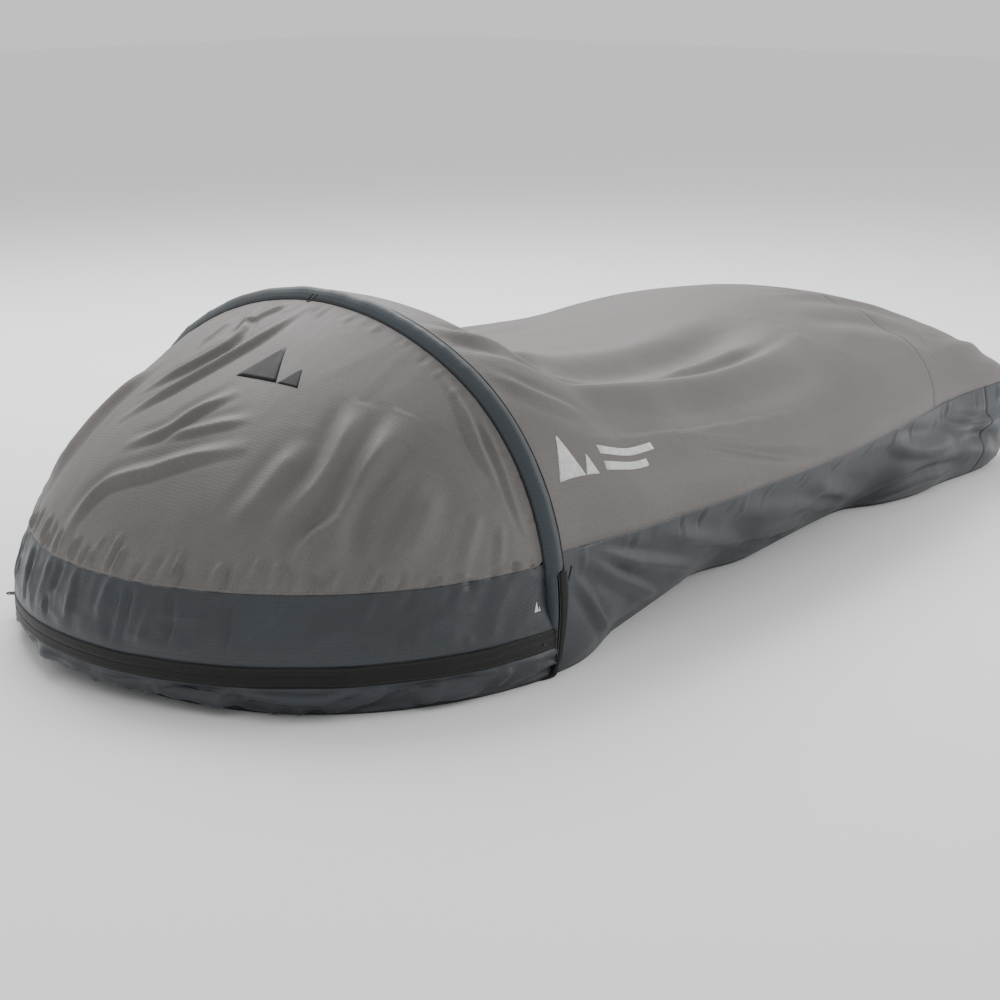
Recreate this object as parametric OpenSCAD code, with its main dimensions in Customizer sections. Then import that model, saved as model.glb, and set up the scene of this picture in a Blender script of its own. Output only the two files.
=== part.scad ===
// Single-hoop bivy sack: a waterproof sleeping shell with a domed head end.
// The head end opens along a level zip that runs round a half circle from
// one foot of the hoop to the other. Axes: +X towards the sleeper's feet,
// +Z up, origin on the ground under the middle of the length.

/* [Overall size] */
// Length over the head arc and the foot end
total_length = 2080; // [1950:10:2200]
// Height of the hoop pole's centre line above the ground
hoop_height = 487; // [470:1:510]
// Half width of the hoop where it stands on the ground
hoop_foot_y = 437; // [425:1:445]
// Height of the seam between the dark side band and the top
side_seam_z = 175; // [150:5:195]
// Thickness given to each fabric panel
cloth = 2.4; // [1.6:0.1:3]

/* [Hoop] */
// Outward lean of the pole's legs at the ground, in degrees
leg_lean = 12; // [8:1:15]
// Turn of the pole from vertical where the leg bend ends
leg_turn = 10; // [8:1:14]
// Turn of the pole from vertical where the shoulder bend ends
shoulder_turn = 60; // [55:1:66]
// Bend radius of the shoulders
shoulder_r = 350; // [330:5:370]
// Outside diameter of the pole tube
pole_d = 8.5; // [7.5:0.1:9]
// Wall of the pole tube
pole_wall = 0.9; // [0.7:0.1:1.2]
// Outside diameter of the fabric sleeve
sleeve_d = 26; // [22:1:28]
// Height at which the sleeve stops above the ground
sleeve_end_z = 145; // [130:5:160]

/* [Zip] */
// Radius of the zip line seen from above
zip_r = 450; // [445:1:455]
// Distance from the hoop plane forward to the centre of the zip arc
zip_centre = 20; // [15:1:25]
// Height of the middle of the zip
zip_z = 60; // [55:1:65]
// Height of each half of the zip tape
tape_h = 14; // [12:1:16]
// Height of the seam between the dark and the grey part of the door
door_seam_z = 165; // [155:5:180]
// Rigid hem of the door starts this far in front of the hoop
hem_start = 104; // [102:1:120]

/* [Hidden] */
$fn = 64;

grey = "#7b7572";
slate = "#454e55";
black = "#1c1d1e";

// Head front lies zip_r + zip_centre in front of the hoop plane.
foot_x = total_length - zip_r - zip_centre;
hoop_x = zip_r + zip_centre - total_length / 2;
foot_corner = 220;
corner_x = foot_x - foot_corner;
panel_seam_x = 1160;
section_power = 2.2;
corner_power = 2.5;

// Half widths and ridge height along the body: [from hoop, value].
seam_halves = [[0, 445], [120, 449], [330, 451], [550, 442], [800, 424],
    [1050, 385], [1250, 349], [1390, 335]];
floor_halves = [[0, 436], [120, 398], [330, 346], [550, 304], [800, 276],
    [1050, 264], [1250, 284], [1390, 288]];
ridge_heights = [[0, 492], [60, 470], [160, 448], [330, 428], [550, 406],
    [800, 393], [1000, 377], [1200, 354], [1350, 325], [1450, 293],
    [1530, 252], [1585, 207], [1610, 182]];
stations = [18, 60, 120, 200, 330, 550, 800, 1000, 1080, 1160, 1280, 1390,
    1450, 1500, 1540, 1570, 1590, 1602];

function corner_half(x, reach, half) =
    half * pow(max(0, 1 - pow((x - corner_x) / reach, corner_power)), 1 / corner_power);
function seam_half(x) =
    x <= corner_x ? lookup(x, seam_halves) : corner_half(x, foot_corner, 335);
function ridge_z(x) = lookup(x, ridge_heights);

// Radii of the leg and top bends follow from the hoop's width and height.
leg_w = cos(leg_lean) - cos(leg_turn);
leg_h = sin(leg_lean) + sin(leg_turn);
top_w = cos(shoulder_turn);
top_h = 1 - sin(shoulder_turn);
rest_w = hoop_foot_y - shoulder_r * (cos(leg_turn) - cos(shoulder_turn));
rest_h = hoop_height - shoulder_r * (sin(shoulder_turn) - sin(leg_turn));
leg_r = (rest_h * top_w - rest_w * top_h) / (leg_h * top_w - leg_w * top_h);
top_r = (rest_w - leg_r * leg_w) / top_w;
// Bend centres as [y, z] on the near side; the far side mirrors them.
leg_c = [-hoop_foot_y + leg_r * cos(leg_lean), leg_r * sin(leg_lean)];
shoulder_c = leg_c + (leg_r - shoulder_r) * [-cos(leg_turn), sin(leg_turn)];
top_c = shoulder_c + (shoulder_r - top_r) * [-cos(shoulder_turn), sin(shoulder_turn)];
sleeve_turn = asin((sleeve_end_z - leg_c[1]) / leg_r);

// Point on the pole's centre line at a given turn from vertical, near side.
function hoop_point(turn) =
    turn < leg_turn ? leg_c + leg_r * [-cos(turn), sin(turn)]
    : turn < shoulder_turn ? shoulder_c + shoulder_r * [-cos(turn), sin(turn)]
    : top_c + top_r * [-cos(turn), sin(turn)];
function mirror_y(p) = [-p[0], p[1]];

// --- shared shapes ---------------------------------------------------

// Closed solid between two grids of points, both [row][column].
module slab(outer, inner) {
    rows = len(outer);
    cols = len(outer[0]);
    count = rows * cols;
    points = concat([for (row = outer) each row], [for (row = inner) each row]);
    function at(i, j) = i * cols + j;
    faces = concat(
        [for (i = [0:rows - 2], j = [0:cols - 2], k = [0, 1])
            k == 0 ? [at(i, j), at(i + 1, j), at(i + 1, j + 1)]
                   : [at(i, j), at(i + 1, j + 1), at(i, j + 1)]],
        [for (i = [0:rows - 2], j = [0:cols - 2], k = [0, 1])
            k == 0 ? [count + at(i, j), count + at(i + 1, j + 1), count + at(i + 1, j)]
                   : [count + at(i, j), count + at(i, j + 1), count + at(i + 1, j + 1)]],
        [for (i = [0:rows - 2], k = [0, 1])
            k == 0 ? [at(i, 0), count + at(i, 0), count + at(i + 1, 0), at(i + 1, 0)]
                   : [at(i, cols - 1), at(i + 1, cols - 1),
                      count + at(i + 1, cols - 1), count + at(i, cols - 1)]],
        [for (j = [0:cols - 2], k = [0, 1])
            k == 0 ? [at(0, j), at(0, j + 1), count + at(0, j + 1), count + at(0, j)]
                   : [at(rows - 1, j), count + at(rows - 1, j),
                      count + at(rows - 1, j + 1), at(rows - 1, j + 1)]]);
    polyhedron(points, faces, convexity = 6);
}

module from_hoop() {
    translate([hoop_x, 0, 0]) children();
}

module both_sides() {
    children();
    mirror([0, 1, 0]) children();
}

// Part of one pole bend: a ring profile swept between two turns.
module bend(centre, r, turn_0, turn_1, d_out, d_in) {
    translate([0, centre[0], centre[1]])
    rotate([90, 0, 90]) rotate([0, 0, 180 - turn_1])
    rotate_extrude(angle = turn_1 - turn_0, $fn = 180)
    translate([r, 0]) difference() {
        circle(d = d_out, $fn = 32);
        if (d_in > 0) circle(d = d_in, $fn = 32);
    }
}

// Half a ring of cord in the XY plane, on the +Y side.
module half_ring(r, d) {
    rotate_extrude(angle = 180, $fn = 64) translate([r, 0]) circle(d = d, $fn = 20);
}

// --- fabric of the sack ----------------------------------------------

// Plan of the head where it meets the ground: a rounded front about a
// centre behind the hoop plane, starting and ending in that plane.
head_centre_x = 75;
head_reach = 490;
head_half = 444;
head_power = 2.4;
function rounded(v) = sign(v) * pow(abs(v), 2 / head_power);
function head_ground(t) =
    [head_centre_x - head_reach * rounded(cos(t)), head_half * rounded(sin(t))];
head_sweep = acos(pow(head_centre_x / head_reach, head_power / 2));

module floor_sheet() color(slate) from_hoop() {
    steps = 28;
    head = [for (i = [0:steps]) head_ground(-head_sweep + 2 * head_sweep * i / steps)];
    far_side = [for (s = floor_halves) if (s[0] > 0) s];
    foot = [for (t = [80:-20:-80])
        [corner_x + (foot_corner - 18) * pow(cos(t), 0.8), 288 * pow(abs(sin(t)), 0.8) * sign(t)]];
    near_side = [for (i = [len(far_side) - 1:-1:0]) [far_side[i][0], -far_side[i][1]]];
    linear_extrude(cloth) polygon(concat(head, far_side, foot, near_side));
}

// Side band from the floor edge up to the seam, leaning outwards.
module side_wall() {
    side_x = [for (x = stations) if (x <= corner_x) x];
    levels = [0, 0.3, 0.65, 1];
    function y_at(x, k) =
        let (low = lookup(x, floor_halves), high = seam_half(x))
        -low - (high - low) * pow(k, 0.8);
    function z_at(k) = cloth + 0.5 + (side_seam_z - 1 - cloth - 0.5) * k;
    outer = [for (x = side_x) [for (k = levels) [x, y_at(x, k), z_at(k)]]];
    inner = [for (x = side_x) [for (k = levels) [x, y_at(x, k) + cloth, z_at(k)]]];
    slab(inner, outer);
}

module side_wall_right() color(slate) from_hoop() side_wall();
module side_wall_left() color(slate) from_hoop() mirror([0, 1, 0]) side_wall();

// Dark band round the foot end, from one side band to the other.
module foot_wall() {
    function ring(t, k, inset) =
        let (half = 288 + 47 * pow(k, 0.8) - inset,
             reach = foot_corner - 18 + 18 * pow(k, 0.8) - inset)
        [corner_x + 1 + reach * pow(cos(t), 0.8), half * pow(abs(sin(t)), 0.8) * sign(t),
         cloth + 0.5 + (side_seam_z - 1 - cloth - 0.5) * k];
    turns = [for (i = [-12:12]) i * 7.5];
    levels = [0, 0.3, 0.65, 1];
    color(slate) from_hoop()
    slab([for (t = turns) [for (k = levels) ring(t, k, cloth)]],
             [for (t = turns) [for (k = levels) ring(t, k, 0)]]);
}

// Top skin as arched rings from one station to the next.
module top_skin(from_x, to_x) {
    ring_x = [for (x = stations) if (x >= from_x && x <= to_x) x];
    turns = [0:7.5:180];
    function ring(x, inset) =
        let (half = seam_half(x) - inset, rise = ridge_z(x) - side_seam_z - 1 - inset)
        [for (t = turns)
            [x, -half * sign(cos(t)) * pow(abs(cos(t)), 2 / section_power),
             side_seam_z + rise * pow(sin(t), 2 / section_power)]];
    slab([for (x = ring_x) ring(x, 0)], [for (x = ring_x) ring(x, cloth)]);
}

module top_panel() color(grey) from_hoop() top_skin(0, panel_seam_x);
module foot_end_panel() color(grey) from_hoop()
    translate([1, 0, 0]) top_skin(panel_seam_x, foot_x);

// Dark wall under the zip, leaning out from the ground to the zip tape.
module head_wall() {
    levels = [0, 0.5, 1];
    foot_z = cloth + 0.5;
    top_z = zip_z - tape_h - 1;
    // The wall ends just in front of the hoop's strap.
    end_x = -14;
    half_turn = 180 - acos((end_x + zip_centre) / zip_r);
    function ring(a, k, inset) =
        let (ground = head_ground(a * head_sweep / half_turn),
             high = [-zip_centre - (zip_r - inset) * cos(a), (zip_r - inset) * sin(a)],
             low = ground * (1 - inset / head_half),
             at = low * (1 - k) + high * k)
        [min(at[0], end_x), at[1], foot_z + (top_z - foot_z) * k];
    spread = [for (i = [-14:14]) i * half_turn / 14];
    color(slate) from_hoop()
    slab([for (a = spread) [for (k = levels) ring(a, k, 0)]],
             [for (a = spread) [for (k = levels) ring(a, k, cloth)]]);
}

// --- hoop --------------------------------------------------------------

module pole_sleeve() color(slate) from_hoop() {
    inside = sleeve_d - 3;
    both_sides() bend(leg_c, leg_r, sleeve_turn, leg_turn, sleeve_d, inside);
    both_sides() bend(shoulder_c, shoulder_r, leg_turn, shoulder_turn, sleeve_d, inside);
    bend(top_c, top_r, shoulder_turn, 180 - shoulder_turn, sleeve_d, inside);
}

pole_bore = pole_d - 2 * pole_wall;
// Turn of the leg at which the tube meets its tip.
tip_turn = asin((22 - leg_c[1]) / leg_r);

module leg_tube() bend(leg_c, leg_r, tip_turn, leg_turn, pole_d, pole_bore);
module shoulder_tube()
    bend(shoulder_c, shoulder_r, leg_turn, shoulder_turn, pole_d, pole_bore);
module top_tube() bend(top_c, top_r, shoulder_turn, 90, pole_d, pole_bore);

module pole_section_1() color("#30343a") from_hoop() leg_tube();
module pole_section_2() color("#30343a") from_hoop() shoulder_tube();
module pole_section_3() color("#30343a") from_hoop() top_tube();
module pole_section_4() color("#30343a") from_hoop() mirror([0, 1, 0]) top_tube();
module pole_section_5() color("#30343a") from_hoop() mirror([0, 1, 0]) shoulder_tube();
module pole_section_6() color("#30343a") from_hoop() mirror([0, 1, 0]) leg_tube();

// Five inner joiners, each half in one tube and half in the next.
module pole_ferrules() color("silver") from_hoop() {
    joiner_d = pole_bore - 0.1;
    joiner_bore = joiner_d - 1.4;
    reach = 24;
    leg_reach = reach / leg_r * 180 / PI;
    shoulder_reach = reach / shoulder_r * 180 / PI;
    top_reach = reach / top_r * 180 / PI;
    both_sides() {
        bend(leg_c, leg_r, leg_turn - leg_reach, leg_turn, joiner_d, joiner_bore);
        bend(shoulder_c, shoulder_r, leg_turn, leg_turn + shoulder_reach, joiner_d, joiner_bore);
        bend(shoulder_c, shoulder_r, shoulder_turn - shoulder_reach, shoulder_turn,
             joiner_d, joiner_bore);
        bend(top_c, top_r, shoulder_turn, shoulder_turn + top_reach, joiner_d, joiner_bore);
    }
    bend(top_c, top_r, 90 - top_reach, 90 + top_reach, joiner_d, joiner_bore);
}

// Elastic cord through the whole pole, knotted inside the tips.
module shock_cord() color("white") from_hoop() {
    cord_d = 2.5;
    both_sides() bend(leg_c, leg_r, tip_turn + 0.3, leg_turn, cord_d, 0);
    both_sides() bend(shoulder_c, shoulder_r, leg_turn, shoulder_turn, cord_d, 0);
    bend(top_c, top_r, shoulder_turn, 180 - shoulder_turn, cord_d, 0);
}

// Turned end plug that stands in the strap's pocket.
module pole_tip() {
    foot = leg_c + leg_r * [-cos(tip_turn), sin(tip_turn)];
    translate([0, foot[0], foot[1]]) rotate([90 - tip_turn - 90, 0, 0]) {
        translate([0, 0, -3]) cylinder(d = pole_d + 1.5, h = 2.9);
        translate([0, 0, -13]) cylinder(d = 5.6, h = 10.1);
        translate([0, 0, -13]) sphere(d = 5.6);
    }
}

module pole_tip_right() color(black) from_hoop() pole_tip();
module pole_tip_left() color(black) from_hoop() mirror([0, 1, 0]) pole_tip();

// Webbing from just under the sleeve's end down past the tip, outside the
// pole, and in along the floor.
strap_y = hoop_foot_y + 15.5;
module foot_strap() {
    strap_w = 18;
    strap_t = 1.5;
    strap_z = cloth + 0.4;
    run_in = 34;
    translate([-strap_w / 2, -strap_y - strap_t, strap_z])
        cube([strap_w, strap_t, sleeve_end_z - 3 - strap_z]);
    translate([-strap_w / 2, -strap_y, strap_z]) cube([strap_w, run_in, strap_t]);
}

module foot_strap_right() color(black) from_hoop() foot_strap();
module foot_strap_left() color(black) from_hoop() mirror([0, 1, 0]) foot_strap();

// Short cord tail that ties the sleeve's end to the side band.
module sleeve_cord() {
    translate([12.5, -strap_y + 1.5, sleeve_end_z - 26]) {
        rotate([0, 18, 0]) cylinder(d = 2.4, h = 40, $fn = 24);
        sphere(d = 4.4, $fn = 24);
    }
}

module sleeve_cord_right() color(black) from_hoop() sleeve_cord();
module sleeve_cord_left() color(black) from_hoop() mirror([0, 1, 0]) sleeve_cord();

// --- zip ---------------------------------------------------------------

// Upright strip along the zip arc, in front of the line x = -start.
module arc_strip(r_in, thick, z_0, z_1, start) {
    half = 180 - acos(-(start - zip_centre) / zip_r);
    translate([-zip_centre, 0, 0]) rotate([0, 0, 180 - half])
        rotate_extrude(angle = 2 * half, $fn = 180)
        translate([r_in, z_0]) square([thick, z_1 - z_0]);
}

tape_t = 0.8;
gap = 1.0;
module zip_tape_lower() color(black) from_hoop()
    arc_strip(zip_r, tape_t, zip_z - tape_h, zip_z - gap, 15);
module zip_tape_upper() color(black) from_hoop()
    arc_strip(zip_r, tape_t, zip_z + gap, zip_z + tape_h, 15);

coil_h = 2.2;
coil_t = 1.8;
module zip_coil_lower() color(black) from_hoop()
    arc_strip(zip_r - coil_t, coil_t - 0.05, zip_z - gap - coil_h, zip_z - gap, 22);
module zip_coil_upper() color(black) from_hoop()
    arc_strip(zip_r - coil_t, coil_t - 0.05, zip_z + gap, zip_z + gap + coil_h, hem_start);

// Sector of the zip arc at a plan angle measured from +X, given in width.
module at_zip(angle) {
    translate([-zip_centre, 0, 0]) rotate([0, 0, angle]) children();
}
module zip_sector(r_in, thick, z_0, z_1, width) {
    turn = width / zip_r * 180 / PI;
    rotate([0, 0, -turn / 2]) rotate_extrude(angle = turn, $fn = 180)
        translate([r_in, z_0]) square([thick, z_1 - z_0]);
}

// Metal end stops crimped on the lower tape at both ends.
stop_turn = acos((zip_centre - 32) / zip_r);
module zip_stops() color("dimgray") from_hoop()
    for (side = [-1, 1]) at_zip(side * stop_turn)
        zip_sector(zip_r + tape_t, 1.2, zip_z - gap - 4, zip_z - gap, 5);

// Slider parked beside the hoop's left foot; two plates and a post.
park_turn = -acos((zip_centre - 70) / zip_r);
module at_park() {
    mirror([0, 1, 0]) at_zip(park_turn) children();
}
slider_w = 11;
pull_r = zip_r + tape_t + 4.2;
pin_d = 1.5;
module zip_slider() color("dimgray") from_hoop() at_park() {
    zip_sector(zip_r + tape_t + 0.5, 1.8, zip_z - 5, zip_z + 5, slider_w);
    zip_sector(zip_r - coil_t - 2.3, 1.6, zip_z - 5, zip_z + 5, slider_w);
    zip_sector(zip_r - coil_t - 1, coil_t + tape_t + 2, zip_z - gap + 0.4, zip_z + gap - 0.4, 4);
    // Bridge cheeks, drilled for the pull tab's pin
    difference() {
        for (z = [zip_z - 5, zip_z + 3.4])
            zip_sector(zip_r + tape_t + 2.2, 3.6, z, z + 1.6, 4);
        translate([pull_r, 0, zip_z - 6]) cylinder(d = pin_d + 0.3, h = 12, $fn = 32);
    }
}

// The tab turns on an upright pin between the bridge's cheeks.
eye_y = 20;
module zip_pull_tab() color("dimgray") from_hoop() at_park() {
    translate([pull_r, 0, zip_z - 5.2]) cylinder(d = pin_d, h = 10.4, $fn = 32);
    difference() {
        union() {
            translate([pull_r, 0, zip_z - 3]) cylinder(d = 3, h = 6, $fn = 32);
            translate([pull_r - 0.6, 1, zip_z - 3]) cube([1.2, 23, 6]);
        }
        translate([pull_r - 3, eye_y, zip_z]) rotate([0, 90, 0]) cylinder(d = 3, h = 6, $fn = 24);
    }
}

// Thin cord loop hanging straight down from the tab's eye.
module zip_pull_cord() {
    cord_d = 1.6;
    loop_r = 3.2;
    straight = 21;
    color(black) from_hoop() at_park()
    translate([pull_r, eye_y, zip_z - loop_r]) rotate([90, 0, 0]) {
        half_ring(loop_r, cord_d);
        translate([0, -straight, 0]) rotate([0, 0, 180]) half_ring(loop_r, cord_d);
        for (side = [-1, 1]) translate([side * loop_r, -straight, 0]) rotate([-90, 0, 0])
            cylinder(d = cord_d, h = straight, $fn = 20);
    }
}

// --- door ----------------------------------------------------------------

// Zip arc point matched to the arch point with the same u.
zip_half = 180 - acos(-(16 - zip_centre) / zip_r);
function zip_point(u, r) =
    let (a = 180 + zip_half * (1 - 2 * u)) [-zip_centre + r * cos(a), r * sin(a)];

module door_lower_band() {
    ups = [0, 0.5, 1];
    function ring(u, k, inset) =
        let (p = zip_point(u, zip_r - inset - 6 * k), z_0 = zip_z + tape_h + 1)
        [p[0], p[1], z_0 + (door_seam_z - 1 - z_0) * k];
    us = [for (i = [0:28]) i / 28];
    color(slate) from_hoop()
    slab([for (u = us) [for (k = ups) ring(u, k, 0)]],
             [for (u = us) [for (k = ups) ring(u, k, cloth)]]);
}

// Dome between the dark band and the front of the sleeve.
module door_panel() {
    hoop_gap = sleeve_d / 2 + 2.5;
    low_turn = asin((door_seam_z + 3 - leg_c[1]) / leg_r);
    function arch_at(u, inset) =
        let (turn = low_turn + (90 - low_turn) * (1 - abs(1 - 2 * u)),
             p = u <= 0.5 ? hoop_point(turn) : mirror_y(hoop_point(turn)))
        [-hoop_gap, p[0] * (1 - inset / 400), p[1] - inset * sin(180 * u)];
    function ring(u, k, inset) =
        let (low = zip_point(u, zip_r - inset - 6), high = arch_at(u, inset),
             swell = 16 * sin(180 * k) * sin(180 * u))
        [low[0] * (1 - k) + high[0] * k - swell * 0.72,
         low[1] * (1 - k) + high[1] * k,
         door_seam_z * (1 - k) + high[2] * k + swell * 0.55];
    us = [for (i = [0:28]) i / 28];
    ups = [0, 0.15, 0.32, 0.5, 0.68, 0.85, 1];
    color(grey) from_hoop()
    slab([for (u = us) [for (k = ups) ring(u, k, 0)]],
             [for (u = us) [for (k = ups) ring(u, k, cloth)]]);
}

// --- loops ---------------------------------------------------------------

// Flat loop lying along +X from its hinge at the origin.
module cord_loop(length, half_w, d) {
    straight = length - half_w;
    translate([straight, 0, 0]) rotate([0, 0, -90]) half_ring(half_w, d);
    for (side = [-1, 1]) translate([0, side * half_w, 0]) rotate([0, 90, 0])
        cylinder(d = d, h = straight, $fn = 20);
}

// Small loop on the front of the sleeve's crown that holds the door open.
module tie_loop() color(black) from_hoop()
    translate([-sleeve_d / 2 - 4, 0, hoop_height + 3]) rotate([0, 0, 180]) rotate([0, 28, 0])
        cord_loop(19, 4.5, 1.8);

// Webbing stake loop at the far front of the head wall.
stake_turn = 132;
module stake_loop() color(black) from_hoop() at_zip(stake_turn)
    translate([zip_r + 3, 0, 36]) {
        translate([0, -6, -0.7]) cube([16, 12, 1.4]);
        translate([16, 0, -0.7]) difference() {
            cylinder(d = 12, h = 1.4);
            translate([0, 0, -1]) cylinder(d = 7, h = 4);
        }
    }

floor_sheet();
side_wall_left();
side_wall_right();
foot_wall();
top_panel();
foot_end_panel();
head_wall();
pole_sleeve();
pole_section_1();
pole_section_2();
pole_section_3();
pole_section_4();
pole_section_5();
pole_section_6();
pole_ferrules();
pole_tip_left();
pole_tip_right();
shock_cord();
foot_strap_left();
foot_strap_right();
sleeve_cord_left();
sleeve_cord_right();
zip_tape_lower();
zip_coil_lower();
zip_stops();
door_panel();
door_lower_band();
zip_tape_upper();
zip_coil_upper();
zip_slider();
zip_pull_tab();
zip_pull_cord();
tie_loop();
stake_loop();
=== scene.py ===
"""Looks of the single-hoop bivy sack: sewn cloth, sleeve, zip and webbing round the CAD frame.

Lengths are in metres. Cloth surfaces are worked out in the hoop's own frame, where the
hoop stands in the plane x = 0, and are moved to the CAD's place as they become meshes.
"""
import math

import bpy
import numpy as np
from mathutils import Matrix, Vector


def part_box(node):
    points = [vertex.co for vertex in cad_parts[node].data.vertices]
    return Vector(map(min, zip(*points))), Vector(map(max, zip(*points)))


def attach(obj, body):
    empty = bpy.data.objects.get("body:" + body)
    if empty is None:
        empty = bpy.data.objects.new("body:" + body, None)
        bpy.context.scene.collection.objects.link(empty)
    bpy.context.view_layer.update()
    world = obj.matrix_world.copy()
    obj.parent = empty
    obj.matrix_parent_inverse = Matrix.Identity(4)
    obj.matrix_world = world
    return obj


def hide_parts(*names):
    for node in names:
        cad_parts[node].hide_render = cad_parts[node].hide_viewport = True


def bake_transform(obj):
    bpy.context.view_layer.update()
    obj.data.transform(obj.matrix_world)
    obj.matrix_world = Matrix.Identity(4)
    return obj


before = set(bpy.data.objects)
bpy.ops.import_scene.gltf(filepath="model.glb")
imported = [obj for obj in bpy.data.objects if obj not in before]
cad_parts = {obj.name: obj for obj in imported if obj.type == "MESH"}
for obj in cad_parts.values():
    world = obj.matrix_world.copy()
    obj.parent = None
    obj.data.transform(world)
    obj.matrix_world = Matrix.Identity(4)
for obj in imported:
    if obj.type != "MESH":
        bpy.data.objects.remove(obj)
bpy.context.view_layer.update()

POLE_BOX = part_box("pole_section_1")
HOOP_X = (POLE_BOX[0][0] + POLE_BOX[1][0]) / 2

# Hoop: height of its pole, half width at the ground, and the turns that part its bends.
HOOP_FOOT = 0.437
HOOP_TOP = 0.487
LEG_LEAN, LEG_TURN, SHOULDER_TURN = np.radians((12.0, 10.0, 60.0))
SHOULDER_R = 0.350
# Zip arc and the heights of the seams.
ZIP_R = 0.450
ZIP_BACK = 0.020
ZIP_Z = 0.060
TAPE_H = 0.014
DOOR_SEAM_Z = 0.165
SIDE_SEAM_Z = 0.175
SLEEVE_FRONT, SLEEVE_BACK = 0.0160, 0.0135
# The door's upper edge hangs a little inside the pole, at the sleeve's front edge.
DOOR_EDGE_X = 0.0145
DOOR_EDGE_DROP = 0.984
# Rounded foot end: where its corner starts, how far it reaches, and its roundness.
CORNER_X = 1.390
CORNER_REACH = 0.220
CORNER_POWER = 0.64
FOOT_SEAM_X = 1.160
TIP = CORNER_X + 1.0
# Body: squareness of its top, length over which it takes the hoop's shape, how far its
# side bands swell near the foot, and how far its floor is tucked in there.
TOP_POWER = 2 / 2.2
HOOP_BLEND = 0.22
BELLY = 0.024
FLOOR_TUCK = 0.018
FLOOR_Z = 0.002
# Lowest height of any cloth above the ground.
GROUND_GAP = 0.0008

# Half widths at the side seam and at the floor, and heights of the ridge, behind the hoop.
SEAM_HALVES = ((0, .443), (.12, .449), (.33, .451), (.55, .442), (.8, .422),
               (1.05, .385), (1.25, .347), (1.33, .340), (1.39, .338))
FLOOR_HALVES = ((0, .436), (.1, .407), (.23, .375), (.4, .332), (.52, .303), (.62, .314),
                (.72, .304), (.82, .290), (.93, .276), (1.02, .274), (1.08, .300),
                (1.18, .316), (1.3, .310), (1.39, .312))
RIDGE_HEIGHTS = ((0, .492), (.06, .456), (.16, .409), (.33, .367), (.55, .343), (.8, .351),
                 (1.0, .365), (1.2, .348), (1.35, .314), (1.45, .272), (1.53, .220),
                 (1.585, .184), (1.61, .174))
# Thickness of the cloth and of the zip's tape, and how far a printed mark stands out.
CLOTH = 0.0006
TAPE_THICK = 0.0009
MARK_PROUD = 0.0004
# Factor on the heights of all the folds that are listed below.
FOLD_STRENGTH = 1.5
# Length of the head's cloth along the zip, for the scale of its small creases.
HEAD_LENGTH = 1.36
STITCH_PITCH, STITCH_LENGTH, STITCH_R = 0.0042, 0.0030, 0.00028
# Period of Blender's band texture in its own coordinate.
BAND_PERIOD = math.pi / 10


# --- numbers ----------------------------------------------------------------

def smoothstep(t):
    t = np.clip(t, 0, 1)
    return t * t * (3 - 2 * t)


def power(v, p):
    return np.sign(v) * np.abs(v) ** p


def smooth_through(x, knots):
    """Cubic curve through the knots, each with a slope from its neighbours."""
    xs, ys = np.array(knots, float).T
    slopes = np.gradient(ys, xs)
    x = np.clip(np.asarray(x, float), xs[0], xs[-1])
    i = np.clip(np.searchsorted(xs, x) - 1, 0, len(xs) - 2)
    h = xs[i + 1] - xs[i]
    t = (x - xs[i]) / h
    return ((2 * t**3 - 3 * t**2 + 1) * ys[i] + (t**3 - 2 * t**2 + t) * h * slopes[i]
            + (3 * t**2 - 2 * t**3) * ys[i + 1] + (t**3 - t**2) * h * slopes[i + 1])


def points_of(x, y, z):
    return np.stack(np.broadcast_arrays(x, y, z), -1)


def distance_along(path):
    """Distance along a path up to each of its points."""
    return np.concatenate([[0], np.cumsum(np.linalg.norm(np.diff(path, axis=0), axis=1))])


def noise(x, y, seed):
    """Smooth random height from -1 to 1 over a plane of unit cells."""
    table = np.random.default_rng(seed).uniform(-1, 1, (64, 64))
    xi, yi = np.floor(x).astype(int), np.floor(y).astype(int)
    fx, fy = smoothstep(x - xi), smoothstep(y - yi)

    def corner(dx, dy):
        return table[(xi + dx) % 64, (yi + dy) % 64]

    low = corner(0, 0) * (1 - fx) + corner(1, 0) * fx
    high = corner(0, 1) * (1 - fx) + corner(1, 1) * fx
    return low * (1 - fy) + high * fy


def crumple(x, y, seed):
    """Creased cloth: broad facets that meet in ridges, from about -1 to 1."""
    wx = x + 0.55 * noise(x * 0.7, y * 0.7, seed + 1)
    wy = y + 0.55 * noise(x * 0.7, y * 0.7, seed + 2)
    broad = 1 - 2.2 * np.abs(noise(wx, wy, seed + 3))
    fine = 1 - 2.2 * np.abs(noise(wx * 2.3, wy * 2.3, seed + 4))
    return 0.7 * broad + 0.3 * fine


# --- hoop -------------------------------------------------------------------

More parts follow.
